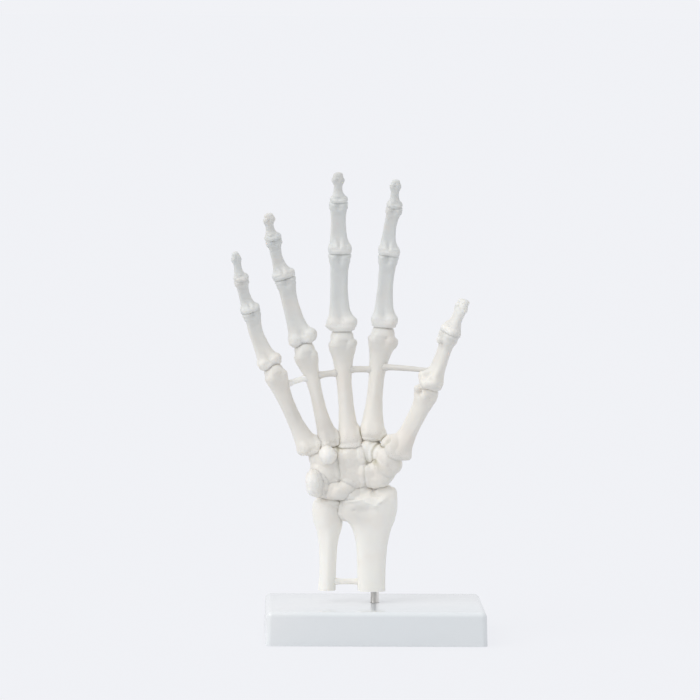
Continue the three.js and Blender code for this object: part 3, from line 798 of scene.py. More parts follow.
@dataclass
class Form:
    """The skin of a long bone, as sections from its base to the middle of its head."""

    rows: list[list[float]]
    length: float
    cap_width: float
    cap_depth: float
    base_rise: float
    head_rise: float
    ball: float = 0.0
    groove: float = 0.0
    groove_drop: float = 0.0
    groove_wide: float = 0.36
    bore: float = 0.0
    bore_depth: float = 0.0
    base_share: float = 0.14
    head_share: float = 0.2
    crowding: float = 0.35
    end_share: float = 0.2
    wall_share: float = 0.75

    def column(self, which: Column, z: Array) -> Array:
        """One of the rows' values at each height."""
        table = np.array(self.rows)
        return through(table[:, 0], table[:, which.value], z)

    @property
    def top(self) -> float:
        """The height of the middle of the head."""
        return self.rows[-1][0]

    def outline(self, z: Array, turn: Array, share: Array) -> tuple[Array, Array]:
        """The section at a height, drawn in over a cap.

        Args:
            z: The heights.
            turn: The turns round the bone, in radians.
            share: How far over a cap each place lies, from 0 at its rim to 1 at its pole.

        Returns:
            The places across and in depth.
        """
        back = np.sin(turn) > 0
        sides = ((Column.BACK, Column.PALM), (Column.BACK_SQUARE, Column.PALM_SQUARE))
        depth, square = (np.where(back, self.column(a, z), self.column(b, z)) for a, b in sides)
        caps = (self.cap_width, self.cap_depth)
        narrow, shallow = (np.clip(1 - share**cap, 1e-9, 1) ** (1 / cap) for cap in caps)
        across = np.abs(np.cos(turn)) / (self.column(Column.HALF_WIDTH, z) * narrow)
        deep = np.abs(np.sin(turn)) / (depth * shallow)
        reach = (across**square + deep**square) ** (-1 / square)
        return reach * np.cos(turn), reach * np.sin(turn)

    def skin(self, segments: int, rings: int) -> Shape:
        """The form as a shape, closed at both ends.

        Args:
            segments: Its faces round the bone.
            rings: Its faces from end to end.

        Returns:
            The shape.
        """
        ball = Shape.ball(segments, rings)
        turn, way = ball.spread()
        low, high = self.base_share, 1 - self.head_share
        body = np.clip((way - low) / (high - low), 0, 1)
        z = self.top * (body - self.crowding * np.sin(2 * math.pi * body) / (2 * math.pi))
        in_base = np.clip((low - way) / low, 0, 1)
        in_head = np.clip((way - high) / (1 - high), 0, 1)
        share = np.sin((in_base + in_head) * math.pi / 2)
        x, y = self.outline(z, turn, share)
        up = z + np.where(way < low, self.base_rise, self.head_rise) * share
        aside, behind = self.column(Column.X, z), self.column(Column.Y, z)
        if self.groove:
            x, y, up = self.grooved(x, y, up, self.column(Column.HALF_WIDTH, z))
        if self.bore:
            x, y, up = self.bored(x, y, up, turn, way)
            aside, behind = (np.where(way < low * self.wall_share, 0, v) for v in (aside, behind))
        up = up + x * np.tan(np.radians(self.column(Column.TILT, z)))
        ball.put(np.stack([x + aside, y + behind, up], axis=1))
        return ball

    def grooved(
        self, x: Array, y: Array, up: Array, width: Array
    ) -> tuple[Array, Array, Array]:
        """Sinks the groove of a pulley into the head.

        Args:
            x: The places across.
            y: The places in depth.
            up: The heights.
            width: Half the bone's width there.

        Returns:
            The places and heights as they end up.
        """
        onto = np.clip((up - self.top + self.ball) / self.ball, 0, 1)
        dent = self.groove * bell(x, width * self.groove_wide) * ease(onto)
        off = y + self.groove_drop
        reach = np.maximum(np.hypot(off, up - self.top), 1e-6)
        return x, y - dent * off / reach, up - dent * (up - self.top) / reach

    def bored(
        self, x: Array, y: Array, up: Array, turn: Array, way: Array
    ) -> tuple[Array, Array, Array]:
        """Opens the sawn base with a bore on the post's axis, walled and ended.

        Args:
            x: The places across.
            y: The places in depth.
            up: The heights.
            turn: The turns round the bone, in radians.
            way: How far from the lower pole each corner lies, as a share.

        Returns:
            The places and heights as they end up.
        """
        low = self.base_share
        end, wall = low * self.end_share, low * self.wall_share
        inner, base = way < wall, way < low
        radius = np.minimum(self.bore * way / end, self.bore)
        height = self.bore_depth * (1 - np.maximum((way - end) / (wall - end), 0))
        face = np.clip((way - wall) / (low - wall), 0, 1)
        rim = self.outline(np.zeros_like(way), turn, np.zeros_like(way))
        middle = self.rows[0][Column.X.value], self.rows[0][Column.Y.value]
        places = []
        for place, edge, off, swing in zip((x, y), rim, middle, (np.cos(turn), np.sin(turn))):
            mouth = self.bore * swing - off
            place = np.where(base, mix(mouth, edge, face), place)
            places.append(np.where(inner, radius * swing, place))
        return *places, np.where(inner, height, np.where(base, 0.0, up))


# Each section of a finger bone: its height, its width, its depth to the back and to the palm, how
# square it is there and there, and how much of the bone's bow it has. A size is a pair: the stage
# that it is taken at (0 is the base, 1 the shaft, 2 the head), and the share of the size there.
PHALANX = (
    (0, 0, 0.9, 0, 0.46, 0, 0.49, 2.2, 2.6, 0),
    (0.05, 0, 0.98, 0, 0.5, 0, 0.53, 2.2, 2.7, 0),
    (0.11, 0, 1, 0, 0.5, 0, 0.52, 2.1, 2.7, 0),
    (0.19, 0.42, 1, 0.3, 0.5, 0.5, 0.48, 2.1, 3.4, 0.3),
    (0.3, 0.74, 1, 0.65, 0.5, 0.85, 0.43, 2.1, 4, 0.7),
    (0.44, 0.9, 1, 1, 0.54, 1, 0.4, 2.1, 4.4, 1),
    (0.6, 1, 1, 1, 0.52, 1, 0.4, 2.1, 4.4, 1),
    (0.76, 1.08, 1, 1, 0.49, 1, 0.41, 2.2, 4, 0.7),
    (0.88, 1.4, 1, 1.3, 0.46, 1.4, 0.5, 2.3, 2.8, 0.2),
    (0.95, 1.96, 1, 1.7, 0.47, 1.85, 0.54, 2.4, 2.8, 0),
    (1, 2, 0.97, 2, 0.48, 2, 0.55, 2.4, 2.8, 0),
)
SECTIONS: dict[Kind, tuple[tuple[float, ...], ...]] = {
    Kind.METACARPAL: (
        (0, 0, 0.9, 0, 0.46, 0, 0.42, 2.8, 2.6, 0),
        (0.045, 0, 1, 0, 0.5, 0, 0.48, 2.8, 2.6, 0),
        (0.1, 0, 0.95, 0, 0.48, 0, 0.46, 2.6, 2.4, 0),
        (0.17, 0.4, 1, 0.5, 0.5, 0.5, 0.48, 2.5, 2.1, 0.4),
        (0.27, 0.72, 1, 0.8, 0.5, 0.85, 0.5, 2.4, 2, 0.8),
        (0.39, 0.94, 1, 1, 0.48, 1, 0.5, 2.3, 2, 1),
        (0.55, 1, 1, 1, 0.46, 1, 0.52, 2.3, 2, 1),
        (0.66, 1.12, 1, 1, 0.47, 1, 0.52, 2.3, 2, 0.9),
        (0.76, 1.32, 1, 1, 0.5, 1, 0.52, 2.3, 2.1, 0.6),
        (0.84, 1.6, 1, 1.25, 0.5, 1.3, 0.52, 2.3, 2.3, 0.3),
        (0.91, 1.94, 1, 1.55, 0.48, 1.7, 0.54, 2.3, 2.6, 0),
        (0.96, 1.96, 1, 1.8, 0.48, 1.95, 0.54, 2.2, 2.7, 0),
        (1, 2, 0.88, 2, 0.48, 2, 0.52, 2.1, 2.4, 0),
    ),
    Kind.PROXIMAL: PHALANX,
    Kind.MIDDLE: PHALANX,
    Kind.DISTAL: (
        (0, 0, 0.88, 0, 0.46, 0, 0.48, 2.2, 2.6, 0),
        (0.05, 0, 0.98, 0, 0.5, 0, 0.52, 2.2, 2.7, 0),
        (0.1, 0, 1, 0, 0.5, 0, 0.5, 2.2, 2.7, 0),
        (0.18, 0.32, 1, 0.35, 0.5, 0.3, 0.5, 2.2, 2.6, 0),
        (0.28, 0.72, 1, 0.75, 0.5, 0.75, 0.5, 2.2, 2.4, 0),
        (0.4, 0.97, 1, 1, 0.5, 1, 0.5, 2.1, 2.2, 0),
        (0.53, 1, 1, 1, 0.48, 1, 0.5, 2.1, 2.2, 0),
        (0.63, 1.7, 1, 1.5, 0.45, 1.5, 0.52, 2.2, 2.3, 0),
        (0.71, 2, 1, 2, 0.42, 2, 0.54, 2.3, 2.4, 0),
        (0.8, 2, 0.95, 2, 0.4, 2, 0.54, 2.4, 2.4, 0),
        (0.88, 2, 0.8, 2, 0.38, 2, 0.5, 2.4, 2.3, 0),
    ),
}
PULLEY = (3.6, 2.0, -0.5)
CAPS = {  # how square a kind's ends are across and in depth, and how far its base is hollowed
    Kind.METACARPAL: (2.2, 2.0, -0.6),
    Kind.PROXIMAL: PULLEY,
    Kind.MIDDLE: PULLEY,
    Kind.DISTAL: (2.3, 2.2, -0.5),
}
METACARPAL_BOW = 0.9
PHALANX_BOW = 0.09  # of the shaft's depth
SWAY_LEVEL, SWAY_REACH = 0.25, 0.7  # the middle share of a bone that sways as one, and the rest


def staged(values: Triple, stage: float, share: float) -> float:
    """A share of a size at a stage of a bone, where 0 is its base, 1 its shaft and 2 its head."""
    first = min(int(stage), 1)
    return mix(values[first], values[first + 1], stage - first) * share


def swayed(sway: Triple, along: float) -> float:
    """How far a section stands aside.

    Args:
        sway: How far the base, the middle and the head do.
        along: The section's share of the way to the head.

    Returns:
        The distance across.
    """
    off = 2 * along - 1
    end = ease(min(max((abs(off) - SWAY_LEVEL) / SWAY_REACH, 0), 1))
    return mix(sway[1], sway[0] if off < 0 else sway[2], end)


def both(z: float, sides: Pair, *sizes: float, edge: float = 2.0) -> tuple[Lump, Lump]:
    """The same swelling on two sides of a bone."""
    return Lump(z, sides[0], *sizes, edge=edge), Lump(z, sides[1], *sizes, edge=edge)


LUMPS: dict[Kind, tuple[Lump, ...]] = {
    Kind.METACARPAL: (
        Lump(0.42, 268, 0.4, 0.16, 22),  # crest along the palm side
        Lump(0.865, 232, 0.8, 0.045, 22, edge=3),  # the two horns of the head
        Lump(0.86, 314, 0.9, 0.04, 18, edge=3),
        Lump(0.845, 286, -0.8, 0.05, 16),  # the hollow between them, and the ball's border over it
        Lump(0.9, 274, 0.45, 0.018, 30),
        *both(0.86, (22, 158), 0.5, 0.035, 22),  # side tubercles
        *both(0.9, (0, 180), -0.5, 0.02, 16),
        Lump(0.84, 90, -0.5, 0.03, 26),
        Lump(0.878, 292, -0.7, 0.009, 5),  # a pore in the head
        Lump(0.05, 72, 0.5, 0.04, 24),
        Lump(0.06, 250, 0.5, 0.04, 20),
        Lump(0.05, 292, 0.5, 0.035, 18),
        Lump(0.1, 270, -0.4, 0.03, 18),
        *both(0.055, (15, 168), 0.5, 0.03, 20),
        Lump(0.44, 246, -0.4, 0.006, 6),
    ),
    Kind.PROXIMAL: (
        Lump(0.075, 212, 0.9, 0.06, 26, edge=2.4),  # the base's two lobes, and the hollow between
        Lump(0.09, 328, 1.1, 0.065, 28, edge=2.4),
        Lump(0.13, 272, -0.9, 0.06, 20),
        Lump(0.2, 270, -0.35, 0.07, 24),
        Lump(0.025, 270, 0.45, 0.025, 60),
        *both(0.5, (226, 314), 0.15, 0.2, 14),  # ridges along both edges of the palm side
        Lump(0.865, 270, -0.7, 0.04, 22),
        Lump(0.925, 0, 0.75, 0.03, 34, edge=2.6),  # the flare of the head
        Lump(0.925, 180, 0.55, 0.03, 34, edge=2.6),
        *both(0.92, (232, 308), 0.6, 0.035, 20),
        Lump(0.09, 90, 0.45, 0.05, 30),
        Lump(0.13, 284, -0.5, 0.012, 5),
    ),
    Kind.MIDDLE: (
        Lump(0.15, 247, 0.8, 0.1, 16, slant=-150),  # two ridges that meet up the shaft
        Lump(0.15, 293, 0.8, 0.1, 16, slant=150),
        *both(0.08, (205, 335), 0.8, 0.05, 20),
        Lump(0.12, 270, -0.5, 0.04, 14),
        Lump(0.03, 270, 0.5, 0.03, 50),
        Lump(0.845, 270, -0.6, 0.045, 24),
        *both(0.92, (0, 180), 0.25, 0.04, 30),
        *both(0.91, (235, 305), 0.5, 0.045, 22),
        Lump(0.07, 90, 0.5, 0.06, 30),
    ),
    Kind.DISTAL: (
        *both(0.09, (350, 190), 0.8, 0.05, 18, edge=1.6),  # the base's spiky corners
        Lump(0.2, 262, 0.7, 0.08, 26),
        Lump(0.13, 270, -0.35, 0.035, 40),
        Lump(0.04, 270, 0.4, 0.03, 50),
        Lump(0.74, 180, 0.6, 0.07, 34),
        Lump(0.72, 0, 0.6, 0.07, 30),
        Lump(0.76, 225, 0.8, 0.09, 28),
        Lump(0.78, 310, 0.7, 0.08, 28),
        Lump(0.73, 262, -0.6, 0.06, 18),
        Lump(0.06, 90, 0.5, 0.06, 30),
    ),
}
ROUGH: dict[Kind, tuple[Coarse, ...]] = {
    Kind.METACARPAL: (
        Coarse(0.03, 0.06, 270, 170, 0.16),
        Coarse(0.86, 0.035, 200, 50, 0.14),
        Coarse(0.86, 0.035, 340, 50, 0.14),
    ),
    Kind.PROXIMAL: (
        Coarse(0.07, 0.05, 270, 170, 0.12),
        Coarse(0.9, 0.03, 0, 40, 0.08),
        Coarse(0.9, 0.03, 180, 40, 0.08),
    ),
    Kind.MIDDLE: (Coarse(0.09, 0.07, 270, 170, 0.12), Coarse(0.9, 0.04, 0, 40, 0.08)),
    Kind.DISTAL: (Coarse(0.12, 0.09, 270, 180, 0.2), Coarse(0.84, 0.12, 270, 180, 0.13)),
}


@dataclass
class LongBone:
    """A long bone's form, place and surface, which it builds as a casting."""

    name: str
    form: Form
    start: Array
    lumps: tuple[Lump, ...]
    rough: tuple[Coarse, ...]
    pose: Array = field(default_factory=lambda: np.eye(3))
    nubs: tuple[Nub, ...] = ()
    scale: float = 1.0
    segments: int = 96
    rings: int = 132
    seed: float = 0.0
    sharp: float = 180.0
    fill: float = 2.5
    fill_reach: float = 2.8
    # lip and the three after it: a painted highlight on the palm side of the base, its strength,
    # height, reach and width
    lip: float = 0.0
    lip_at: float = 0.06
    lip_long: float = 0.09
    lip_wide: float = 70.0
    ripple: float = 0.1
    ripple_size: float = 6.5
    coarse_size: float = 1.5
    coarsest: float = 0.25
    voxel: float = 0.36
    smoothing: int = 3
    core: Pair = (0.14, 0.9)
    sawn_core: float = 0.55
    sawn_edge: float = 1.5

    def inside(self, points: Array) -> Array:
        """Points of the part as the bone's own places."""
        return (points - self.start) @ self.pose

    def local(self, points: Array) -> tuple[Array, Array]:
        """Where points of the part lie on the bone.

        Args:
            points: The points.

        Returns:
            Their heights along it, and their turns round it in degrees.
        """
        x, y, up = self.inside(points).T
        z = np.clip(up, 0, self.form.top)
        turn = np.arctan2(y - self.form.column(Column.Y, z), x - self.form.column(Column.X, z))
        return up, np.degrees(turn) % 360

    def build(self, seats: Seats) -> Casting:
        """Shapes the bone, raises what stands on it, and seats it on the castings before it.

        Args:
            seats: The castings made so far.

        Returns:
            The bone's casting.
        """
        shape = self.form.skin(self.segments, self.rings)
        shape.put(shape.points @ self.pose.T + self.start)
        if self.nubs:
            nubs = [nub.shape(self.start) for nub in self.nubs]
            shape = shape.fused(nubs, self.voxel, self.smoothing)
        z, turn = self.local(shape.points)
        share = z / self.form.length
        outside = self.outside(z, shape.points)
        coarse = np.max([patch.roughness(share, turn) for patch in self.rough], axis=0)
        relief = self.ripple * grain(shape.points, self.ripple_size, self.seed)
        relief += coarse * grain(shape.points, self.coarse_size, self.seed + 1, 3)
        push = self.scale * sum(lump.swell(share, turn) for lump in self.lumps)
        shape.push((push + outside * relief) * outside)
        near = seats.closeness(shape.points, self.name, self.fill_reach)
        shape.push(self.fill * near * outside)
        shape.put(seats.fit(shape.points, self.cores(shape.points)))
        seats.add(self.name, shape)
        # a painted highlight on the palm side of the base
        highlight_and_pale = self.lip * bell(share - self.lip_at, self.lip_long)
        highlight_and_pale *= bell(around(turn, 270), self.lip_wide, 4)
        node = self.name.removesuffix("_bone")
        coarse = np.clip(coarse / self.coarsest, 0, 1)
        return Casting(self.name, shape, coarse, node, sharp=self.sharp, tone_and_light=highlight_and_pale)

    def outside(self, z: Array, points: Array) -> Array:
        """Tells the skin from a bore and a sawn face.

        Args:
            z: The heights.
            points: The corners.

        Returns:
            1 on the skin, and 0 in the bore and on the sawn face of a bone that has them.
        """
        if self.form.base_rise:
            return np.ones(len(z))
        x, y, _ = self.inside(points).T
        return np.clip(z / self.sawn_edge, 0, 1) * ~(np.hypot(x, y) < self.form.bore + 0.05)

    def cores(self, points: Array) -> Array:
        """Finds what the corners are drawn towards.

        Args:
            points: The corners.

        Returns:
            A place on the bone's axis for each.
        """
        low, high = self.core
        z = np.clip(self.inside(points)[:, 2], self.form.length * low, self.form.top * high)
        if not self.form.base_rise:
            z = np.full(len(points), self.form.top * self.sawn_core)
        places = [self.form.column(Column.X, z), self.form.column(Column.Y, z), z]
        return np.stack(places, axis=1) @ self.pose.T + self.start


# Carpal bones


@dataclass(frozen=True)
class Bump:
    """A swelling on a carpal bone in a direction across, to the back and up, in mm and degrees."""

    towards: Triple
    size: float
    wide: float


@dataclass(frozen=True)
class Carpal:
    """A carpal bone: its full size, squareness and lean, and how it beds on another one."""

    name: str
    size: Triple
    square: float
    lean: float
    taper: float
    on: str = ""
    heading: float = 0.0
    forward: float = 0.0
    bed: float = 0.0
    swells: tuple[tuple[Triple, float, float], ...] = ()
    bumps: tuple[Bump, ...] = ()
    nubs: tuple[Nub, ...] = ()
    seed: float = 0.0
    coarse: float = 0.12
    fill: float = 2.8
    fill_reach: float = 4.4
    back_square: float = 1.2
    back_from: float = 0.5
    ripple: float = 0.32
    ripple_size: float = 5.0
    coarse_size: float = 1.6
    voxel: float = 0.3
    smoothing: int = 6
    rounds: int = 12
    segments: int = 104
    rings: int = 84

    def reach(self, directions: Array) -> Array:
        """How far the plain bone reaches from its middle.

        Args:
            directions: The directions that are asked for.

        Returns:
            The distance in each.
        """
        local = np.atleast_2d(directions) @ turned(self.lean)
        half = np.array(self.size) / 2
        x, y, z = np.abs(local / half).T
        back = np.clip(local[:, 1] / self.back_from, 0, 1)
        square = self.square + self.back_square * ease(back)
        out = np.full(len(local), half[2])
        for _ in range(self.rounds):
            widening = 1 + self.taper * out * local[:, 2] / half[2]
            out = ((x / widening) ** square + y**square + z**square) ** (-1 / square)
        return out

    def rough(self, centre: Array) -> Shape:
        """The bone's plain form about its middle, with its nodules.

        Args:
            centre: The bone's middle.

        Returns:
            The shape.
        """
        shape = Shape.ball(self.segments, self.rings)
        directions = shape.points @ turned(self.lean).T
        swell = np.ones(len(directions))
        for towards, amount, tight in self.swells:
            swell += amount * np.exp((directions @ unit(towards) - 1) * tight)
        shape.put(directions * (self.reach(directions) * swell)[:, None] + centre)
        if self.nubs:
            nubs = [nub.shape(centre) for nub in self.nubs]
            shape = shape.fused(nubs, self.voxel, self.smoothing)
        return shape

    def build(self, centre: Array, plain: Seats, seats: Seats) -> Casting:
        """Gives the bone its surface, fills it out to the others, and seats it on those before it.

        Args:
            centre: The bone's middle.
            plain: The plain forms of all the carpal bones.
            seats: The castings made so far.

        Returns:
            The bone's casting.
        """
        shape = self.rough(centre)
        directions = shape.points - centre
        directions /= np.linalg.norm(directions, axis=1)[:, None]
        push = self.ripple * grain(shape.points, self.ripple_size, self.seed)
        push += self.coarse * grain(shape.points, self.coarse_size, self.seed + 3, 3)
        for bump in self.bumps:
            near = np.clip(directions @ unit(bump.towards), -1, 1)
            push += bump.size * bell(np.degrees(np.arccos(near)), bump.wide)
        shape.push(push)
        shape.push(self.fill * plain.closeness(shape.points, self.name, self.fill_reach))
        count = len(shape.points)
        shape.put(seats.fit(shape.points, np.tile(centre, (count, 1))))
        piece = f"{self.name}_bone"
        seats.add(piece, shape)
        coarse = np.full(count, self.coarse * 2)
        return Casting(piece, shape, coarse, self.name, tone_and_light=np.zeros(count))


CARPALS = (
    Carpal(
        "lunate", (16.4, 15, 10.2), 2.4, 4, 0, seed=1, coarse=0.03,
        nubs=(Nub((0, 4.5, -6), (14, 7, 10)), Nub((3, 4, 3), (20, 8, 8))),
        bumps=(Bump((-0.1, -0.8, 0.6), 0.4, 24),),
    ),
    Carpal(
        "capitate", (15.8, 18, 26.6), 3.6, -10, 0, "lunate", 26, -12, 0.8, seed=2, coarse=0.08,
        nubs=(Nub((-7, 3, 8), (9, 9, 12)),),
        bumps=(
            Bump((-0.25, -0.8, 0.62), 0.9, 20), Bump((0.25, -0.9, 0.1), -0.5, 16),
            Bump((0.5, -0.8, -0.3), 0.5, 14), Bump((-0.3, -0.9, -0.1), -0.4, 16),
        ),
    ),
    Carpal(
        "hamate", (17, 15, 25), 2.6, -24, 0.3, "capitate", -85, 2, 1.7, seed=3, coarse=0.06,
        nubs=(Nub((-0.2, -9.5, 6.4), (10.2, 12, 11.6), -24),),
        bumps=(
            Bump((0.25, -0.75, -0.6), 0.8, 20), Bump((-0.75, -0.6, 0.1), -0.5, 20),
            Bump((0.75, -0.6, 0.0), -0.5, 16),
        ),
    ),
    Carpal(
        "triquetrum", (11.5, 12.5, 18), 2.4, -12, 0.1, "lunate", -67, -11, 1.9, seed=4,
        nubs=(Nub((4, 3, -8), (9, 7, 6)),),
    ),
    Carpal(
        "pisiform", (8.6, 10, 15), 2.3, -4, 0, "triquetrum", -86, 60, 2.1, seed=5, coarse=0.16
    ),
    Carpal(
        "scaphoid", (14.8, 15, 15.8), 2.8, -20, 0, "capitate", 108, 13, 1.9, seed=6, coarse=0.06,
        nubs=(Nub((-6.6, 4, -6), (9, 8, 7)),), swells=(((0.5, -0.75, -0.35), 0.14, 7),),
        bumps=(
            Bump((-0.6, -0.75, 0.4), 0.6, 20), Bump((0.0, -0.95, 0.2), -0.5, 16),
            Bump((0.85, -0.4, 0.1), 0.4, 15),
        ),
    ),
    Carpal(
        "trapezoid", (10, 14, 15.6), 2.8, 8, 0.15, "capitate", 47, 2, 2, seed=7, coarse=0.08,
        fill=1.8,
        bumps=(
            Bump((-0.1, -0.8, 0.6), 0.4, 18), Bump((0.35, -0.9, -0.2), -0.4, 16),
            Bump((-0.2, -0.9, -0.5), 0.3, 15),
        ),
    ),
    Carpal(
        "trapezium", (14.6, 15.8, 19), 2.8, -25, 0, "trapezoid", 113, 22, 2.4, seed=8, coarse=0.08,
        nubs=(Nub((1.2, -3.0, 7.6), (8.6, 11, 13.6), 24),), swells=(((0.05, -0.95, 0.2), 0.16, 9),),
        bumps=(
            Bump((-0.85, -0.5, 0.1), -0.9, 24), Bump((0.2, -0.95, 0.2), 0.4, 18),
            Bump((0.05, -0.9, -0.45), -0.5, 15), Bump((0.75, -0.5, -0.35), 0.5, 15),
        ),
    ),
)


@dataclass
class Wrist:
    """The eight carpal bones, each bedded on another one from the lunate out."""

    lunate_across: float = -21.4
    lunate_back: float = -1.5
    lunate_up: float = 60.3
    centres: dict[str, Array] = field(default_factory=dict)
    bones: dict[str, Carpal] = field(default_factory=lambda: {bone.name: bone for bone in CARPALS})

    def __post_init__(self) -> None:
        """Works out the middles of the bones."""
        first = [self.lunate_across, self.lunate_back, CUT_LEVEL + self.lunate_up]
        for name, bone in self.bones.items():
            if bone.on:
                way = course(bone.heading, bone.forward)
                apart = self.bones[bone.on].reach(way)[0] + bone.reach(-way)[0] - bone.bed
                self.centres[name] = self.centres[bone.on] + way * apart
            else:
                self.centres[name] = np.array(first)

    def edge(self, name: str, heading: float, forward: float, bed: float) -> Array:
        """The point on a bone's skin in a direction, less the bed of what stands there."""
        way = course(heading, forward)
        return self.centres[name] + way * (self.bones[name].reach(way)[0] - bed)

    def build(self, seats: Seats) -> list[Casting]:
        """Builds the bones in the order in which they are cut back.

        Args:
            seats: The castings made so far.

        Returns:
            The bones' castings.
        """
        plain = Seats()
        for name, bone in self.bones.items():
            plain.add(name, bone.rough(self.centres[name]))
        return [bone.build(self.centres[name], plain, seats) for name, bone in self.bones.items()]


# Where painted shade darkens the clefts: a place in mm, its reach and its strength.
SEAM_SHADES = (
    (-11.0, -4.0, 125.0, 5.5, 1.0), (-23.3, -4.0, 126.0, 4.0, 0.3), (-23.6, -4.0, 115.1, 4.0, 0.8),
    (5.0, -6.0, 122.5, 5.5, 0.8), (2.4, -6.0, 115.0, 5.0, 0.6), (-1.3, -6.0, 108.2, 6.0, 0.8),
    (-21.7, -5.0, 106.0, 5.5, 0.3), (-9.1, -6.0, 103.9, 7.0, 0.15), (4.9, -6.0, 91.9, 4.0, 0.2),
    (-9.0, -4.0, 187.0, 60.0, 0.1),
)
# Painted light on the bones: a place in mm, its reach and its strength, a painted highlight above 0
# and painted shade below it.
PAINTED_LIGHT_SPOTS = (
    (-29.0, -13.0, 111.5, 8.0, 1.0), (-38.0, -10.0, 93.2, 9.0, 0.8), (-4.0, -7.0, 112.3, 6.0, 0.9),
    (-12.0, -6.0, 121.0, 6.0, 0.3), (-27.0, -4.0, 124.0, 7.0, -0.5), (-1.0, -10.0, 84.0, 8.0, 0.4),
    (48.0, -28.0, 200.0, 14.0, 0.45), (-23.0, -5.0, 78.0, 7.0, -0.3),
    (-12.0, -9.0, 76.0, 12.0, -0.55), (-21.4, -8.0, 87.9, 7.0, -0.3),
    (-33.0, -4.0, 124.0, 8.0, -0.5), (-46.0, -6.0, 137.0, 16.0, -0.6),
    (-19.0, -14.0, 283.0, 16.0, -0.8), (9.0, -12.0, 262.0, 16.0, -0.45),
    (-60.0, -14.0, 236.0, 18.0, -0.4),
)
CREASE, CREASE_REACH = 0.03, 1.2  # how much painted shade every seam gets, and how far from it


def spotted(points: Array, spots: tuple[tuple[float, ...], ...]) -> Array:
    """Adds up the spots.

    Args:
        points: The corners of a casting.
        spots: Their places, reaches and strengths.

    Returns:
        The strength at each corner.
    """
    total = np.zeros(len(points))
    for *place, reach, strength in spots:
        total += strength * bell(np.linalg.norm(points - place, axis=1), reach)
    return total


# Forearm

# Sections of the forearm bones: height over the saw cut, width, depth, middle across, middle in
# depth, and tilt.
ULNA = (
    (0, 10.6, 10.6, 0.6, 0, 0), (12, 10.2, 10.4, 0.9, 0, 0), (24.6, 10.8, 10.6, 1.1, 0.1, 0),
    (32, 12.8, 11.4, 1.2, 0.2, 0), (36.6, 15, 12.4, 1.4, 0.3, 0), (41.4, 17.6, 14, 0.9, 0.4, -2),
    (45.6, 17.8, 15, 0.3, 0.4, -4), (50, 16.6, 14.6, -0.2, 0.4, -5),
    (52.4, 14.8, 13.4, -0.6, 0.4, -6),
)
RADIUS = (
    (0, 16.8, 13, -1.9, 0, 0), (14, 17.2, 12.8, -2.1, 0, 0), (25, 18.4, 13.4, -2, 0.2, 0),
    (34, 21.4, 15, -1.9, 0.6, 1), (41, 26.6, 17, -2.1, 1, 3), (45, 31.6, 18.6, -3.7, 1.2, 4),
    (49, 34, 20, -4.4, 1.2, 5), (53, 33.6, 20.6, -4, 1.2, 6), (57, 31.2, 20.2, -2.8, 1, 6),
)
ULNA_LUMPS = (
    Lump(0.956, 120, 2.0, 0.09, 30), Lump(0.4, 282, 0.5, 0.4, 26, edge=2.4),
    Lump(0.8, 250, 0.5, 0.1, 24),
)
RADIUS_LUMPS = (
    Lump(0.815, 8, 0.8, 0.13, 25), Lump(0.8, 80, 1.4, 0.11, 12),
    Lump(0.965, 290, -3.0, 0.06, 32, edge=2.4),  # the facets over the lip
    Lump(0.96, 238, -1.6, 0.045, 20, edge=2.4),
    Lump(0.877, 221, 0.8, 0.02, 12, slant=900), Lump(0.868, 264, 1.0, 0.035, 9, slant=-740),
    Lump(0.838, 289, 0.7, 0.02, 10), Lump(0.9, 308, 0.9, 0.05, 9, slant=240),
    Lump(0.79, 262, -1.7, 0.05, 32, edge=2.4),  # the hollow under it
    Lump(0.94, 338, 0.9, 0.06, 11), Lump(0.82, 334, 0.8, 0.1, 8),
    Lump(0.86, 304, -0.8, 0.009, 3.5), Lump(0.79, 226, -0.7, 0.012, 4),  # pits
    Lump(0.79, 300, -0.5, 0.009, 3.5),
)


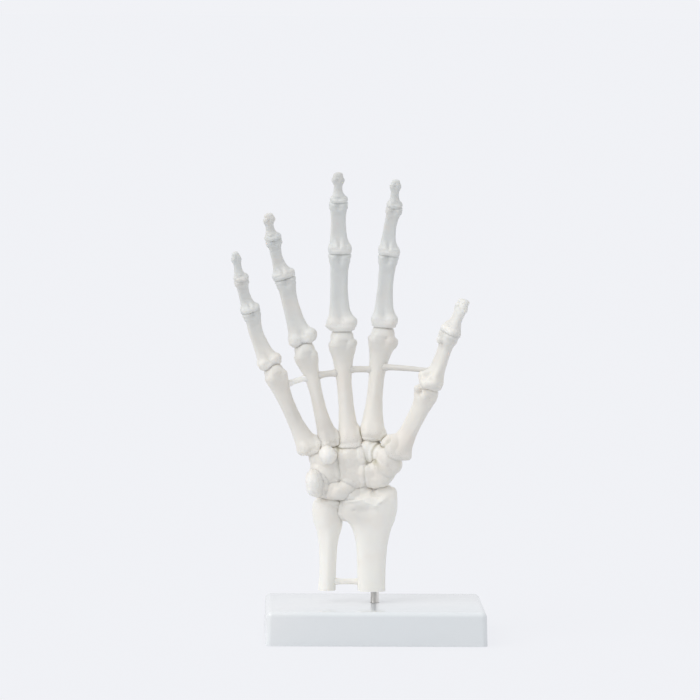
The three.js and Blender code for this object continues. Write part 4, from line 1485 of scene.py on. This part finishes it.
@dataclass
class Forearm:
    """The sawn ends of the radius, which the post enters, and of the ulna beside it."""

    apart: float = 29.4
    behind: float = 2.0
    radius_rim: float = 5.6
    radius_length: float = 62.6
    ulna_rim: float = 2.0
    ulna_length: float = 54.4
    back_square: float = 2.3
    radius_square: float = 2.6
    ulna_square: float = 1.8
    bore: float = 2.8
    bore_depth: float = 30.3
    sharp: float = 50.0
    tie_up: float = 5.4
    tie_radius: float = 1.75

    def rows(self, table: tuple[tuple[float, ...], ...], square: float) -> list[list[float]]:
        """The rows of a form.

        Args:
            table: The bone's sections.
            square: How square they are on the palm side.

        Returns:
            The rows.
        """
        return [
            [up, width / 2, depth / 2, depth / 2, self.back_square, square, across, back, tilt]
            for up, width, depth, across, back, tilt in table
        ]

    def build(self, seats: Seats) -> list[Casting]:
        """Builds the ulna, then the radius that is cut back from it.

        Args:
            seats: The castings made so far.

        Returns:
            The bones' castings.
        """
        ulna = Form(
            self.rows(ULNA, self.ulna_square), self.ulna_length, 2.4, 2.4, 0.0, self.ulna_rim,
            base_share=0.08,
        )
        radius = Form(
            self.rows(RADIUS, self.radius_square), self.radius_length, 3.6, 2.4, 0.0,
            self.radius_rim, bore=self.bore, bore_depth=self.bore_depth, base_share=0.2,
        )
        bones = (
            LongBone(
                "ulna_bone", ulna, np.array([-self.apart, self.behind, CUT_LEVEL]), ULNA_LUMPS,
                (Coarse(0.93, 0.06, 200, 90, 0.08),), segments=112, rings=140, seed=21,
                sharp=self.sharp,
            ),
            LongBone(
                "radius_bone", radius, np.array([0.0, 0.0, CUT_LEVEL]), RADIUS_LUMPS,
                (Coarse(0.9, 0.06, 270, 60, 0.08),), segments=144, rings=160, seed=22,
                sharp=self.sharp,
            ),
        )
        return [bone.build(seats) for bone in bones]

    def tie(self) -> Casting:
        """Builds the straight bar between the two bones, just over the saw cut."""
        bar = Bar("tie_radius_ulna", (self.tie_radius, self.tie_radius), rise=0.0)
        (_, ulna_wide, _, ulna_across, *_), (_, wide, _, across, *_) = ULNA[0], RADIUS[0]
        first = ulna_across - self.apart + ulna_wide / 2 - bar.seat
        last = across - wide / 2 + bar.seat
        place = [self.behind / 2, CUT_LEVEL + self.tie_up]
        return bar.build(np.array([first, *place]), np.array([last, *place]))


# Digits


@dataclass(frozen=True)
class Bone:
    """A finger bone: its length and turns, and the widths and depths of base, shaft and head."""

    length: float
    turns: Triple
    base: Pair
    shaft: Pair
    head: Pair
    sway: Triple = (0.0, 0.0, 0.0)
    lumps: tuple[Lump, ...] = ()
    nubs: tuple[Nub, ...] = ()

    def form(self, kind: Kind) -> Form:
        """The bone's skin.

        Args:
            kind: Which kind of bone it is.

        Returns:
            The form.
        """
        widths, depths = zip(self.base, self.shaft, self.head)
        tip, pulley = kind is Kind.DISTAL, CAPS[kind] is PULLEY
        half = depths[2] / 2
        reach = self.length if tip else self.length - half
        top = reach * SECTIONS[kind][-1][0]
        bow = depths[1] * PHALANX_BOW if pulley else METACARPAL_BOW
        rows = [
            [
                reach * z, staged(widths, *width) / 2, staged(depths, *back), staged(depths, *palm),
                *squares, swayed(self.sway, reach * z / top), bow * bent, 0.0,
            ]
            for z, width, back, palm, squares, bent in (
                (row[0], row[1:3], row[3:5], row[5:7], row[7:9], row[9]) for row in SECTIONS[kind]
            )
        ]
        form = Form(rows, self.length, *CAPS[kind], self.length - top, 0.0 if tip else half)
        if pulley:
            form.groove, form.groove_drop = depths[2] * 0.11, depths[2] * 0.03
        return form


SOCKET = {Kind.METACARPAL: 0.9, Kind.PROXIMAL: 0.8, Kind.MIDDLE: 0.7}  # how deep a head sits


@dataclass(frozen=True)
class Digit:
    """A finger or the thumb: the carpal bone that it stands on, and its bones."""

    name: str
    on: str
    heading: float
    forward: float
    bed: float
    bones: tuple[Bone, ...]
    fill: float = 1.1
    palm_fill: float = 2.5
    # how strong the painted highlight on each phalanx's base is
    lip: float = 0.5
    full_width: float = 16.0
    seed_step: float = 2.7

    def lay(self, wrist: Wrist) -> list[LongBone]:
        """Sets each bone on the head of the one before it.

        Args:
            wrist: The carpal bones.

        Returns:
            The digit's bones, from the wrist out.
        """
        kinds = [kind for kind in Kind if kind is not Kind.MIDDLE or len(self.bones) > 3]
        start = wrist.edge(self.on, self.heading, self.forward, self.bed)
        laid = []
        for number, (kind, bone) in enumerate(zip(kinds, self.bones)):
            form, pose = bone.form(kind), turned(*bone.turns)
            if laid:
                below = laid[-1]
                centre = below.start + below.pose[:, 2] * below.form.top
                start = centre + pose[:, 2] * (below.form.ball - SOCKET[kinds[number - 1]])
            palm = kind is Kind.METACARPAL
            laid.append(LongBone(
                f"{self.name}_{kind.value}_bone", form, start, LUMPS[kind] + bone.lumps,
                ROUGH[kind], pose, bone.nubs, bone.base[0] / self.full_width,
                rings=140 if palm else 116, fill=self.palm_fill if palm else self.fill,
                lip=0.0 if palm else self.lip,
                seed=len(self.name) + number * self.seed_step + self.heading,
            ))
        return laid


DIGITS = (
    Digit("thumb", "trapezium", 45, 13, 1, (
        Bone(
            49.3, (26.2, 15, -58), (17.8, 15.6), (11.2, 9.8), (14.6, 13.4),
            nubs=(
                Nub((11.8, -15.6, 39.6), (4.4, 4.2, 4.4)), Nub((15.2, -17.6, 41.6), (4, 3.6, 3.6)),
            ),
            lumps=(Lump(0.45, 352, 0.6, 0.25, 14), Lump(0.05, 20, 0.9, 0.05, 24)),
        ),
        Bone(
            35.8, (19.3, 11, -58), (15.4, 12.6), (9.2, 7.4), (13.4, 10.2),
            nubs=(Nub((4.9, -8.4, 27.6), (4.6, 4.2, 5.4)), Nub((9.4, -10.4, 27.0), (4, 3, 4))),
            lumps=(
                Lump(0.13, 240, 1.5, 0.09, 26), Lump(0.14, 318, -0.8, 0.05, 14),
                Lump(0.5, 352, 0.6, 0.22, 13),
            ),
        ),
        Bone(
            20.9, (22.9, 5, -50), (12, 9), (7.6, 5.6), (9.4, 5.2),
            lumps=(
                Lump(0.15, 232, 1.2, 0.12, 22), Lump(0.7, 50, 0.8, 0.22, 13),
                Lump(0.7, 24, -0.5, 0.2, 12), Lump(0.93, 230, 1.0, 0.06, 26),
                Lump(0.95, 45, 1.2, 0.05, 24),
            ),
        ),
    ), 2.4),
    Digit("index", "trapezoid", 12, 0, -0.4, (
        Bone(
            69.4, (5.1, -2, -6), (15, 15.5), (9.3, 9), (16.6, 14.8), (-0.2, -0.8, 0.6),
            (
                Lump(0.835, 355, 1.5, 0.045, 24, edge=2.6), Lump(0.87, 188, 0.8, 0.03, 16),
                Lump(0.06, 345, 1.3, 0.04, 18), Lump(0.045, 262, 0.5, 0.03, 24),
            ),
        ),
        Bone(44.7, (3.4, 4, -4), (15.4, 12.2), (9.3, 7), (11.8, 8.2), (1, 0, 0.5)),
        Bone(29.8, (6.8, 9, -3), (12.4, 9.6), (7.6, 5.6), (10, 6.4), (0.5, -0.9, 0.1)),
        Bone(16.5, (2.2, 12, 0), (7.8, 6.4), (5, 4), (6.6, 4), (0.3, 0.1, 0.3)),
    )),
    Digit("middle", "capitate", -9, 0, 0.2, (
        Bone(
            71.4, (-5.2, -2, 0), (13.4, 16), (8.9, 9.2), (16.4, 15), (0.4, 0.3, 1.2),
            (Lump(0.862, 345, 1.1, 0.028, 15, edge=2.6), Lump(0.85, 190, 0.5, 0.04, 20)),
        ),
        Bone(
            47.9, (-1.3, 4, 0), (17, 13), (10.4, 7.4), (13, 8.6), (1, -0.2, 0.3),
            (Lump(0.05, 196, 1.0, 0.03, 14), Lump(0.12, 334, 0.6, 0.05, 22)),
        ),
        Bone(31.8, (-1.5, 9, 0), (13.6, 10), (9, 6), (11.4, 6.8), (0.6, -0.1, 0.1)),
        Bone(17.6, (-0.7, 12, 0), (9, 7), (5.1, 4.2), (7.2, 4.2), (0.4, -0.1, -0.1)),
    )),
    Digit("ring", "hamate", 4, 0, 1, (
        Bone(
            64.7, (-13.7, -1, 6), (12.4, 13.5), (7.6, 8.4), (14.4, 13.4), (0.4, -0.3, -1.2),
            (Lump(0.95, 268, 0.7, 0.045, 40),),
        ),
        Bone(
            42.7, (-16.7, 4, 6), (16.8, 12), (9.8, 7), (12.2, 8), (-0.4, -1.5, -0.5),
            (
                Lump(0.14, 330, 0.9, 0.05, 20), Lump(0.04, 205, 0.7, 0.03, 16),
                Lump(0.0, 264, -1.8, 0.05, 26),
            ),
        ),
        Bone(25, (-17.1, 9, 6), (13.4, 9.4), (6.8, 5.4), (10, 6.2), (-0.5, -1.3, -0.3)),
        Bone(15.9, (-10.7, 12, 4), (8.4, 6.4), (5.1, 4), (6.9, 4), (-0.6, -1.2, -0.6)),
    )),
    Digit("little", "hamate", -52, 2, 0.1, (
        Bone(
            58.5, (-24.9, 1, 12), (14.4, 12.5), (8.9, 8), (13.6, 12.4), (-0.1, -1, -0.4),
            (Lump(0.95, 275, 0.8, 0.05, 44),),
        ),
        Bone(
            36.8, (-22.3, 5, 12), (14.4, 11), (8.6, 6), (11, 7.2), (-0.8, -1.6, 0.2),
            (Lump(0.0, 282, -2.0, 0.06, 28),),
        ),
        Bone(20.6, (-17.2, 10, 10), (10.8, 8.2), (6.7, 4.9), (9.2, 5.8), (0.1, -0.5, 0.1)),
        Bone(17.4, (-10.5, 12, 8), (7.2, 6), (4.8, 3.8), (5.7, 3.8), (0.2, -0.6, -0.6)),
    )),
)


# Tie bars


@dataclass(frozen=True)
class Bar:
    """A slim round bar along a shallow arc, which flares where it is moulded to the shafts."""

    name: str
    radii: Pair
    # the bar's own tone, paler above 0 and greyer below
    tone_and_light: float = 0.0
    rise: float = 0.8
    seat: float = 2.2
    flare: float = 0.45
    flare_reach: float = 1.5
    flare_out: float = 0.4
    cap: float = 0.06
    bulge: float = 8.0
    ripple: float = 0.06

    def build(self, start: Array, end: Array) -> Casting:
        """Draws the bar.

        Args:
            start: Where it starts.
            end: Where it ends.

        Returns:
            Its casting.
        """
        shape = Shape.ball(48, 72)
        turn, way = shape.spread()
        t = np.clip((way - self.cap) / (1 - 2 * self.cap), 0, 1)
        middle = (start + end) / 2 + np.array([0, 0, self.rise])
        line = np.outer((1 - t) ** 2, start) + np.outer(2 * t * (1 - t), middle)
        line += np.outer(t * t, end)
        tangent = np.outer(2 * (1 - t), middle - start) + np.outer(2 * t, end - middle)
        tangent /= np.linalg.norm(tangent, axis=1)[:, None]
        back = np.cross(tangent, [0, 0, 1])
        back /= np.linalg.norm(back, axis=1)[:, None]
        over = np.cross(tangent, back)
        long = np.linalg.norm(end - start)
        from_shaft = np.minimum(t, 1 - t) * long - self.seat + self.flare_out
        radius = mix(*self.radii, t) + self.flare * bell(from_shaft, self.flare_reach)
        rounding = np.clip(np.minimum(way, 1 - way) / self.cap, 0, 1)
        radius = radius * np.sin(rounding * math.pi / 2)
        line += back * (np.cos(turn) * radius)[:, None] + over * (np.sin(turn) * radius)[:, None]
        past = way - np.clip(way, self.cap, 1 - self.cap)
        shape.put(line + tangent * (past * self.bulge)[:, None])
        bmesh.ops.recalc_face_normals(shape.mesh, faces=shape.mesh.faces)
        shape.push(self.ripple * grain(shape.points, 4.0, long))
        count = len(shape.points)
        tone_and_light = np.full(count, self.tone_and_light)
        return Casting(f"{self.name}_bar", shape, np.zeros(count), self.name, tone_and_light=tone_and_light)


@dataclass(frozen=True)
class Tie:
    """A bar between two finger bones, each met at a share of its length."""

    bar: Bar
    first: tuple[str, float]
    last: tuple[str, float]

    def build(self, bones: dict[str, LongBone]) -> Casting:
        """Draws the bar from just inside one shaft to just inside the other.

        Args:
            bones: The finger bones by name.

        Returns:
            The bar's casting.
        """
        points, halves = [], []
        for name, share in (self.first, self.last):
            bone = bones[f"{name}_bone"]
            z = share * bone.form.length
            points.append(bone.start + bone.pose[:, 2] * z)
            halves.append(float(bone.form.column(Column.HALF_WIDTH, np.array([z]))[0]))
        towards = unit(points[1] - points[0])
        start = points[0] + towards * (halves[0] - self.bar.seat)
        end = points[1] - towards * (halves[1] - self.bar.seat)
        return self.bar.build(start, end)


TIES = (
    Tie(
        Bar("tie_little_ring", (1.5, 1.8), 0.9), ("little_metacarpal", 0.74),
        ("ring_metacarpal", 0.656),
    ),
    Tie(
        Bar("tie_ring_middle", (1.9, 1.9), -0.6), ("ring_metacarpal", 0.654),
        ("middle_metacarpal", 0.617),
    ),
    Tie(
        Bar("tie_middle_index", (1.9, 1.9), -0.6), ("middle_metacarpal", 0.637),
        ("index_metacarpal", 0.595),
    ),
    Tie(
        Bar("tie_index_thumb", (1.9, 1.4), -1.0), ("index_metacarpal", 0.621),
        ("thumb_proximal", 0.24),
    ),
)


# Stand


def brick(width: float, depth: float, low: float, high: float) -> BMesh:
    """A plain block.

    Args:
        width: Its size across.
        depth: Its size from front to back.
        low: The height of its underside.
        high: The height of its top.

    Returns:
        The block, about the middle.
    """
    mesh = bmesh.new()
    bmesh.ops.create_cube(mesh, size=1.0)
    bmesh.ops.scale(mesh, vec=(width, depth, high - low), verts=mesh.verts)
    bmesh.ops.translate(mesh, vec=(0, 0, (high + low) / 2), verts=mesh.verts)
    return mesh


def bevel(mesh: BMesh, edges: list[bmesh.types.BMEdge], size: float, segments: int) -> None:
    """Rounds some edges.

    Args:
        mesh: The mesh that they belong to.
        edges: The edges.
        size: How far the rounding reaches.
        segments: How many faces it has.
    """
    bmesh.ops.bevel(
        mesh, geom=edges, offset=size, offset_type="OFFSET", segments=segments, profile=0.5,
        affect="EDGES", material=-1,
    )


def rod(radius: float, low: float, high: float, chamfer: float = 0.0) -> BMesh:
    """An upright round rod.

    Args:
        radius: Its radius.
        low: The height of its lower end.
        high: The height of its upper end.
        chamfer: How much its ends are eased.

    Returns:
        The rod, about the middle.
    """
    mesh = bmesh.new()
    bmesh.ops.create_cone(
        mesh, cap_ends=True, segments=72, radius1=radius, radius2=radius, depth=high - low
    )
    bmesh.ops.translate(mesh, vec=(0, 0, (high + low) / 2), verts=mesh.verts)
    if chamfer:
        rims = [e for e in mesh.edges if abs(e.verts[0].co.z - e.verts[1].co.z) < 1e-4]
        bevel(mesh, rims, chamfer, 3)
    return mesh


@dataclass
class Stand:
    """The moulded plinth, open below with a boss and ribs, and the steel post in it."""

    width: float = 132.5
    depth: float = 90.0
    height: float = 20.3
    corner: float = 3.5
    edge: float = 3.0
    draft: float = 0.6
    wall: float = 2.6
    inner_corner: float = 1.2
    inner_edge: float = 0.8
    boss: float = 6.5
    rib: float = 2.0
    rib_share: float = 0.6
    rooted: float = 0.5
    post: float = 5.0
    post_in_plinth: float = 16.0
    post_out: float = 37.3
    post_edge: float = 0.4
    clearance: float = 0.3
    sharp: float = 32.0

    def block(
        self, width: float, depth: float, low: float, high: float, corner: float, edge: float
    ) -> BMesh:
        """A block with rounded uprights, a rounded top edge and walls that lean in.

        Args:
            width: Its size across.
            depth: Its size from front to back.
            low: The height of its underside.
            high: The height of its top.
            corner: How far its uprights are rounded.
            edge: How far its top edge is.

        Returns:
            The block.
        """
        mesh = brick(width, depth, low, high)
        upright = [e for e in mesh.edges if abs(e.verts[0].co.z - e.verts[1].co.z) > 1]
        bevel(mesh, upright, corner, 10)
        rim = [e for e in mesh.edges if min(v.co.z for v in e.verts) > high - 1e-4]
        bevel(mesh, rim, edge, 8)
        for vert in mesh.verts:
            lean = self.draft * (vert.co.z - low) / (high - low)
            vert.co.x -= math.copysign(lean, vert.co.x)
            vert.co.y -= math.copysign(lean, vert.co.y)
        return mesh

    def carved(self, body: BMesh, steps: list[tuple[str, BMesh]]) -> BMesh:
        """Joins to a body or cuts from it each of the others, in order.

        Args:
            body: The body.
            steps: Each of the others after what is done with it.

        Returns:
            The carved body.
        """
        scene = bpy.context.scene
        parts = []
        for mesh in (body, *(other for _, other in steps)):
            data = bpy.data.meshes.new("blank")
            mesh.to_mesh(data)
            mesh.free()
            parts.append(bpy.data.objects.new("blank", data))
            scene.collection.objects.link(parts[-1])
        for (operation, _), tool in zip(steps, parts[1:]):
            cut = parts[0].modifiers.new("step", "BOOLEAN")
            cut.operation, cut.object, cut.solver = operation, tool, "EXACT"
        made = bmesh.new()
        made.from_object(parts[0], bpy.context.evaluated_depsgraph_get())
        for part in parts:
            bpy.data.objects.remove(part)
        return made

    def build(self) -> list[Casting]:
        """Builds the plinth and the post."""
        wide, deep = self.width - 2 * self.wall, self.depth - 2 * self.wall
        roof = self.height - self.wall
        post_low, rib_low = self.height - self.post_in_plinth, roof - self.height * self.rib_share
        hole = rod(self.post / 2 + self.clearance, post_low - self.clearance, self.height + 2)
        hollow = self.block(wide, deep, -1, roof, self.inner_corner, self.inner_edge)
        plinth = Shape(self.carved(
            self.block(self.width, self.depth, 0, self.height, self.corner, self.edge),
            [
                ("DIFFERENCE", hollow),
                ("UNION", rod(self.boss, 0, roof + self.rooted)),
                ("UNION", brick(wide, self.rib, rib_low, roof + self.rooted)),
                ("UNION", brick(self.rib, deep, rib_low, roof + self.rooted)),
                ("DIFFERENCE", hole),
            ],
        ))
        post = Shape(rod(self.post / 2, post_low, self.height + self.post_out, self.post_edge))
        castings = []
        for piece, shape, node, body, slot in (
            ("moulded_plinth", plinth, "plinth", Body.STAND, Slot.PLINTH),
            ("steel_post", post, "post", Body.POST, Slot.STEEL),
        ):
            plain = np.zeros(len(shape.points))
            castings.append(Casting(piece, shape, plain, node, body, slot, self.sharp))
        return castings


# Studio


@dataclass(frozen=True)
class Studio:
    """A pale floor under soft light, seen from the palm side through a long lens."""

    backdrop: Colour = tone(241, 242, 246)
    paint: Colour = tone(225, 226, 229)
    shadow: float = 0.1
    shadow_glow: float = 0.103
    sky: Colour = (0.97, 0.985, 1.0, 1.0)
    sky_rise: Pair = (0.6, 0.88)
    sky_behind: Pair = (0.92, 1.08)
    dark_room: tuple[Pair, Pair] = ((-0.92, -0.4), (0.02, 0.92))
    dark_side: tuple[Pair, Pair] = ((-0.93, -0.8), (0.1, 1.0))
    beside: Pair = (0.16, 0.3)
    camera_at: Triple = (-0.0938, -2.7299, 0.3908)
    camera_turn: Triple = (1.631, 4.55, 0.451)
    lens: float = 233.99
    sensor: float = 36.0
    clips: Pair = (0.1, 500.0)
    floor_radius: float = 60.0
    floor_level: float = -0.0003
    lamp_from: Triple = (-0.85, -0.5, 0.72)
    lamp_strength: float = 1.1
    lamp_spread: float = 50.0

    def place(self, data: bpy.types.ID, matrix: Matrix) -> bpy.types.Object:
        """Puts an object into the scene.

        Args:
            data: Its camera, lamp or mesh.
            matrix: Where it stands and how it is turned.

        Returns:
            The object.
        """
        made = bpy.data.objects.new(data.name, data)
        made.matrix_world = matrix
        bpy.context.scene.collection.objects.link(made)
        return made

    def camera(self) -> None:
        """Sets the camera where the photograph was taken from."""
        data = bpy.data.cameras.new("camera")
        data.lens, data.sensor_width = self.lens, self.sensor
        data.clip_start, data.clip_end = self.clips
        yaw, pitch, roll = (math.radians(angle) for angle in self.camera_turn)
        level = math.cos(pitch)
        ahead = Vector((math.sin(yaw) * level, math.cos(yaw) * level, -math.sin(pitch)))
        right = Vector((math.cos(yaw), -math.sin(yaw), 0))
        up = right.cross(ahead)
        right, up = (
            right * math.cos(roll) + up * math.sin(roll),
            up * math.cos(roll) - right * math.sin(roll),
        )
        turn = Matrix((right, up, -ahead)).transposed().to_4x4()
        camera = self.place(data, Matrix.Translation(self.camera_at) @ turn)
        bpy.context.scene.camera = camera

    def lamp(self) -> None:
        """Hangs a broad soft lamp far away."""
        data = bpy.data.lights.new("key_lamp", "SUN")
        data.energy, data.angle = self.lamp_strength, math.radians(self.lamp_spread)
        turn = Vector(self.lamp_from).to_track_quat("Z", "Y").to_matrix().to_4x4()
        self.place(data, turn)

    def floor(self) -> None:
        """Lays a round floor that shows the backdrop's colour and keeps a soft shadow."""
        mesh = bmesh.new()
        bmesh.ops.create_circle(mesh, cap_ends=True, segments=96, radius=self.floor_radius)
        bmesh.ops.translate(mesh, vec=(0, 0, self.floor_level), verts=mesh.verts)
        data = bpy.data.meshes.new("floor")
        mesh.to_mesh(data)
        mesh.free()
        data.materials.append(self.floor_material())
        floor = self.place(data, Matrix())

    def dimmed(self, sheet: Sheet, way: Node, easing: Easing, beside: object = 0.0) -> Socket:
        """How bright glossy pieces see the surroundings, with a dark room and a dark side wall.

        Args:
            sheet: The nodes.
            way: The direction, split into its three parts.
            easing: How the dark parts end.
            beside: The least that the side wall is dimmed to.

        Returns:
            The strength.
        """
        room = sheet.ranged(way.outputs[1], *self.dark_room, easing)
        side = sheet.ranged(way.outputs[0], *self.dark_side, easing)
        return sheet.maths(Sum.TIMES, room, sheet.maths(Sum.GREATEST, side, beside))

    def choice(self, sheet: Sheet, share: Socket, first: Node, second: Node) -> Node:
        """Chooses between two shaders.

        Args:
            sheet: The nodes.
            share: 0 for the first and 1 for the second.
            first: A shader.
            second: Another one.

        Returns:
            The mixed shader.
        """
        mixed = sheet.node("MixShader", Fac=share)
        for socket, shader in zip(mixed.inputs[1:], (first, second)):
            sheet.feed(socket, shader.outputs[0])
        return mixed

    def floor_material(self) -> Material:
        """Pale paint for the lamps, and mostly the backdrop's own colour for what sees it."""
        sheet = Sheet(bpy.data.materials.new("pale_floor"), bare=True)
        away = sheet.node("VectorMath", operation="LENGTH", Vector=sheet.coords)
        way = sheet.node("VectorMath", operation="NORMALIZE", Vector=sheet.coords)
        way = sheet.node("SeparateXYZ", Vector=way.outputs[0])
        beside = sheet.ranged(away.outputs["Value"], self.beside, (1.0, 0.0))
        path = sheet.node("LightPath").outputs
        strength = sheet.maths(
            Sum.GREATEST, path["Is Camera Ray"], self.dimmed(sheet, way, Easing.SMOOTH, beside)
        )
        colour = (*(value - self.shadow_glow for value in self.backdrop[:3]), 1.0)
        shown = sheet.node("AddShader")
        shadow = sheet.node("BsdfDiffuse", Color=(self.shadow, self.shadow, self.shadow, 1.0))
        glow = sheet.node("Emission", Color=colour, Strength=strength)
        for socket, shader in zip(shown.inputs, (shadow, glow)):
            sheet.feed(socket, shader.outputs[0])
        seen = sheet.maths(Sum.GREATEST, path["Is Camera Ray"], path["Is Glossy Ray"])
        seen = sheet.maths(Sum.GREATEST, seen, path["Is Transmission Ray"])
        floor = self.choice(sheet, seen, sheet.node("BsdfDiffuse", Color=self.paint), shown)
        sheet.node("OutputMaterial", Surface=floor.outputs[0])
        return sheet.owner

    def world(self) -> None:
        """Even light from all round, a little stronger from above and behind, and the backdrop."""
        world = bpy.data.worlds.new("studio")
        bpy.context.scene.world = world
        sheet = Sheet(world, "Generated", bare=True)
        way = sheet.node("SeparateXYZ", Vector=sheet.coords)
        rise = sheet.ranged(way.outputs[2], (-0.2, 1.0), self.sky_rise, Easing.EVEN)
        behind = sheet.ranged(way.outputs[1], (-1.0, 1.0), self.sky_behind, Easing.EVEN)
        level = sheet.maths(Sum.TIMES, rise, behind)
        light = sheet.node("Background", Color=self.sky, Strength=level)
        dim = self.dimmed(sheet, way, Easing.EVEN)
        mirrored = sheet.node("Background", Color=self.backdrop, Strength=dim)
        backdrop = sheet.node("Background", Color=self.backdrop)
        path = sheet.node("LightPath").outputs
        seen = sheet.maths(Sum.GREATEST, path["Is Camera Ray"], path["Is Transmission Ray"])
        lit = self.choice(sheet, path["Is Glossy Ray"], light, mirrored)
        shown = self.choice(sheet, seen, lit, backdrop)
        sheet.node("OutputWorld", Surface=shown.outputs[0])

    def build(self) -> None:
        """Sets up the camera, the floor and the lights."""
        self.camera()
        self.floor()
        self.world()
        self.lamp()
        bpy.context.scene.view_settings.view_transform = "Standard"


def mark(castings: list[Casting], seats: Seats) -> None:
    """Paints shade into the seams of the bones, and painted highlights and painted shade in listed
    places.

    Args:
        castings: The bones' castings.
        seats: The same castings as the seats that they are measured to.
    """
    for casting in castings:
        points = casting.shape.points
        near = seats.closeness(points, casting.name, CREASE_REACH)
        # painted shade in the seams
        casting.crease_shade = near * (CREASE + spotted(points, SEAM_SHADES))
        # painted highlights and painted shade in listed places
        casting.tone_and_light += spotted(points, PAINTED_LIGHT_SPOTS)


def main() -> None:
    """Builds the hand, the stand and the studio, and logs each piece's faces."""
    logging.basicConfig(level=logging.INFO, format="%(message)s")
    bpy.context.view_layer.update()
    finishes = {
        Slot.BONE: BonePlastic().material(),
        Slot.STEEL: BrightSteel().material(),
        Slot.PLINTH: PlinthPlastic().material(),
    }
    for name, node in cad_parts.items():
        slot = Slot.STEEL if name.endswith("_pin") else Slot.BONE
        node.data.materials.clear()
        node.data.materials.append(finishes[slot])
    seats, wrist, forearm = Seats(), Wrist(), Forearm()
    castings = wrist.build(seats) + forearm.build(seats)
    laid = {bone.name: bone for digit in DIGITS for bone in digit.lay(wrist)}
    castings += [bone.build(seats) for bone in laid.values()]
    mark(castings, seats)
    castings += [tie.build(laid) for tie in TIES] + [forearm.tie()] + Stand().build()
    for casting in castings:
        piece = casting.cast(finishes[casting.slot])
        log.info("%s: %d faces", piece.name, len(piece.data.polygons))
    Studio().build()


if __name__ == "__main__":
    main()
